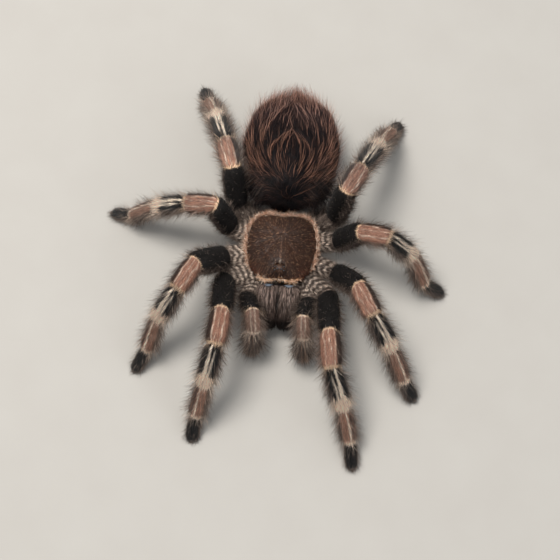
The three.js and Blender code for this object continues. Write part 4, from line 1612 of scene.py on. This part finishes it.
def add_claws(material):
    """Two small hooked claws at the end of each leg, one on each palp."""
    form = Form()
    for limb in limbs:
        foot = limb.segments[-1]
        size = 0.8 if limb.is_palp else 1.0
        for offset in (0,) if limb.is_palp else (-0.38, 0.38):
            bend = np.linspace(0, 1, 8)
            start = foot.end - foot.direction * 1.1 * MM + foot.up * 0.35 * MM + foot.rearward * offset * MM
            ahead = np.outer(bend * 2.1 * MM * size, foot.direction)
            lift = np.outer((0.8 * bend - 1.4 * bend ** 2) * MM * size, foot.up)
            spine = start + ahead + lift
            spine[:, 2] = np.maximum(spine[:, 2], 0.12 * MM)
            form.add_tube(tube_rings(spine, 0.13 * MM * size * (1 - 0.85 * bend), 8))
    mesh = form.mesh("claws")
    mesh.shade_smooth()
    put("claws", mesh, material, "horn")


# ---- stage and camera

AIM_BEHIND_EYES = 2.3 * MM
VIEW_TURN = math.radians(4.2)
VIEW_HEIGHT = math.radians(70)
VIEW_DISTANCE = 0.44
LENS = 84.86
FLOOR_REACH = 3.0


def aimed(name, data, place, look):
    """A camera or lamp at a place, looking along a direction."""
    made = link(name, data)
    made.location = place
    made.rotation_mode = "QUATERNION"
    made.rotation_quaternion = Vector(look).to_track_quat("-Z", "Y")
    return made


def add_camera():
    aim = np.array([carapace_middle[0], middle_of("eye_tubercle")[1] + AIM_BEHIND_EYES, 0])
    level = math.cos(VIEW_HEIGHT)
    look = np.array([-math.sin(VIEW_TURN) * level, math.cos(VIEW_TURN) * level, -math.sin(VIEW_HEIGHT)])
    camera = bpy.data.cameras.new("camera")
    camera.lens = LENS
    camera.sensor_width = 36
    camera.clip_start = 0.01
    bpy.context.scene.camera = aimed("camera", camera, aim - look * VIEW_DISTANCE, look)


def add_light(name, place, size, power, colour):
    lamp = bpy.data.lights.new(name, "AREA")
    lamp.size = size
    lamp.energy = power
    lamp.color = colour
    aimed(name, lamp, place, -Vector(place))


def add_stage():
    floor = bpy.data.meshes.new("floor")
    corner_places = [(x * FLOOR_REACH, y * FLOOR_REACH, 0) for x, y in ((-1, -1), (1, -1), (1, 1), (-1, 1))]
    floor.from_pydata(corner_places, [], [(0, 1, 2, 3)])
    finish = Finish("floor", {"Roughness": 0.9, "Specular IOR Level": 0.1})
    mottle = finish.noise(60.0, 3.0)
    finish.feed("Base Color", finish.blend(tone("b7b2ab"), tone("bdb9b2"), mottle))
    floor.materials.append(finish.material)
    link("floor", floor)
    add_light("overhead", (-0.22, 0.12, 0.8), 0.36, 6.9, (1.0, 0.98, 0.95))
    add_light("side_fill", (0.7, -0.5, 0.5), 0.5, 1.4, (0.92, 0.96, 1.0))
    world = bpy.data.worlds.new("studio")
    world.use_nodes = True
    sky = world.node_tree.nodes["Background"].inputs
    sky["Color"].default_value = (0.93, 0.96, 1.0, 1)
    sky["Strength"].default_value = 0.5
    bpy.context.scene.world = world
    bpy.context.scene.view_settings.view_transform = "Standard"


# ---- the model


def add_skin():
    mesh = skin_mesh()
    surface = Surface(mesh)
    write_colours(mesh, "marking", skin_markings(surface.points))
    flesh = [node for limb in limbs for node in limb.nodes]
    flesh += ["cephalothorax_underside", "abdomen", "right_spinneret", "left_spinneret"]
    put("skin", mesh, skin_finish(), "body_coat", *flesh)
    return surface


def add_coats(surface):
    parts = nearest_parts(surface.middles)
    leg_hair = hair_finish("leg_hair", root=0.95, tip=1.25, sheen=0.08)
    long_hair = hair_finish("long_leg_hair", 0.4, root=0.7, tip=1.1)
    for number, limb in enumerate(limbs):
        add_limb_coat(limb, number, surface, parts, leg_hair)
        add_limb_long_hair(limb, number, surface, parts, long_hair)
    add_hip_hair(surface, parts, long_hair)
    add_underside_coat(surface, parts, leg_hair)
    add_spinneret_coat(surface, parts, leg_hair)
    undercoat = hair_finish("abdomen_undercoat", 0.5, root=0.3, tip=0.9)
    add_abdomen_undercoat(surface, parts, undercoat)
    mantle = hair_finish("abdomen_long_hair", 0.4, root=0.5, tip=1.1)
    add_abdomen_mantle(surface, parts, mantle)
    add_abdomen_guard_hair(surface, parts, mantle)


def add_head():
    horn = horn_finish()
    shell = jaw_finish()
    jaw_hair = hair_finish("jaw_hair", 0.5, root=0.5, tip=1.2)
    for side_name in SIDES:
        add_jaw(side_name, jaw_hair, shell)
        add_fang(side_name, horn)
    add_claws(horn)
    add_eyes()


add_coats(add_skin())
add_carapace()
add_head()
add_stage()
add_camera()
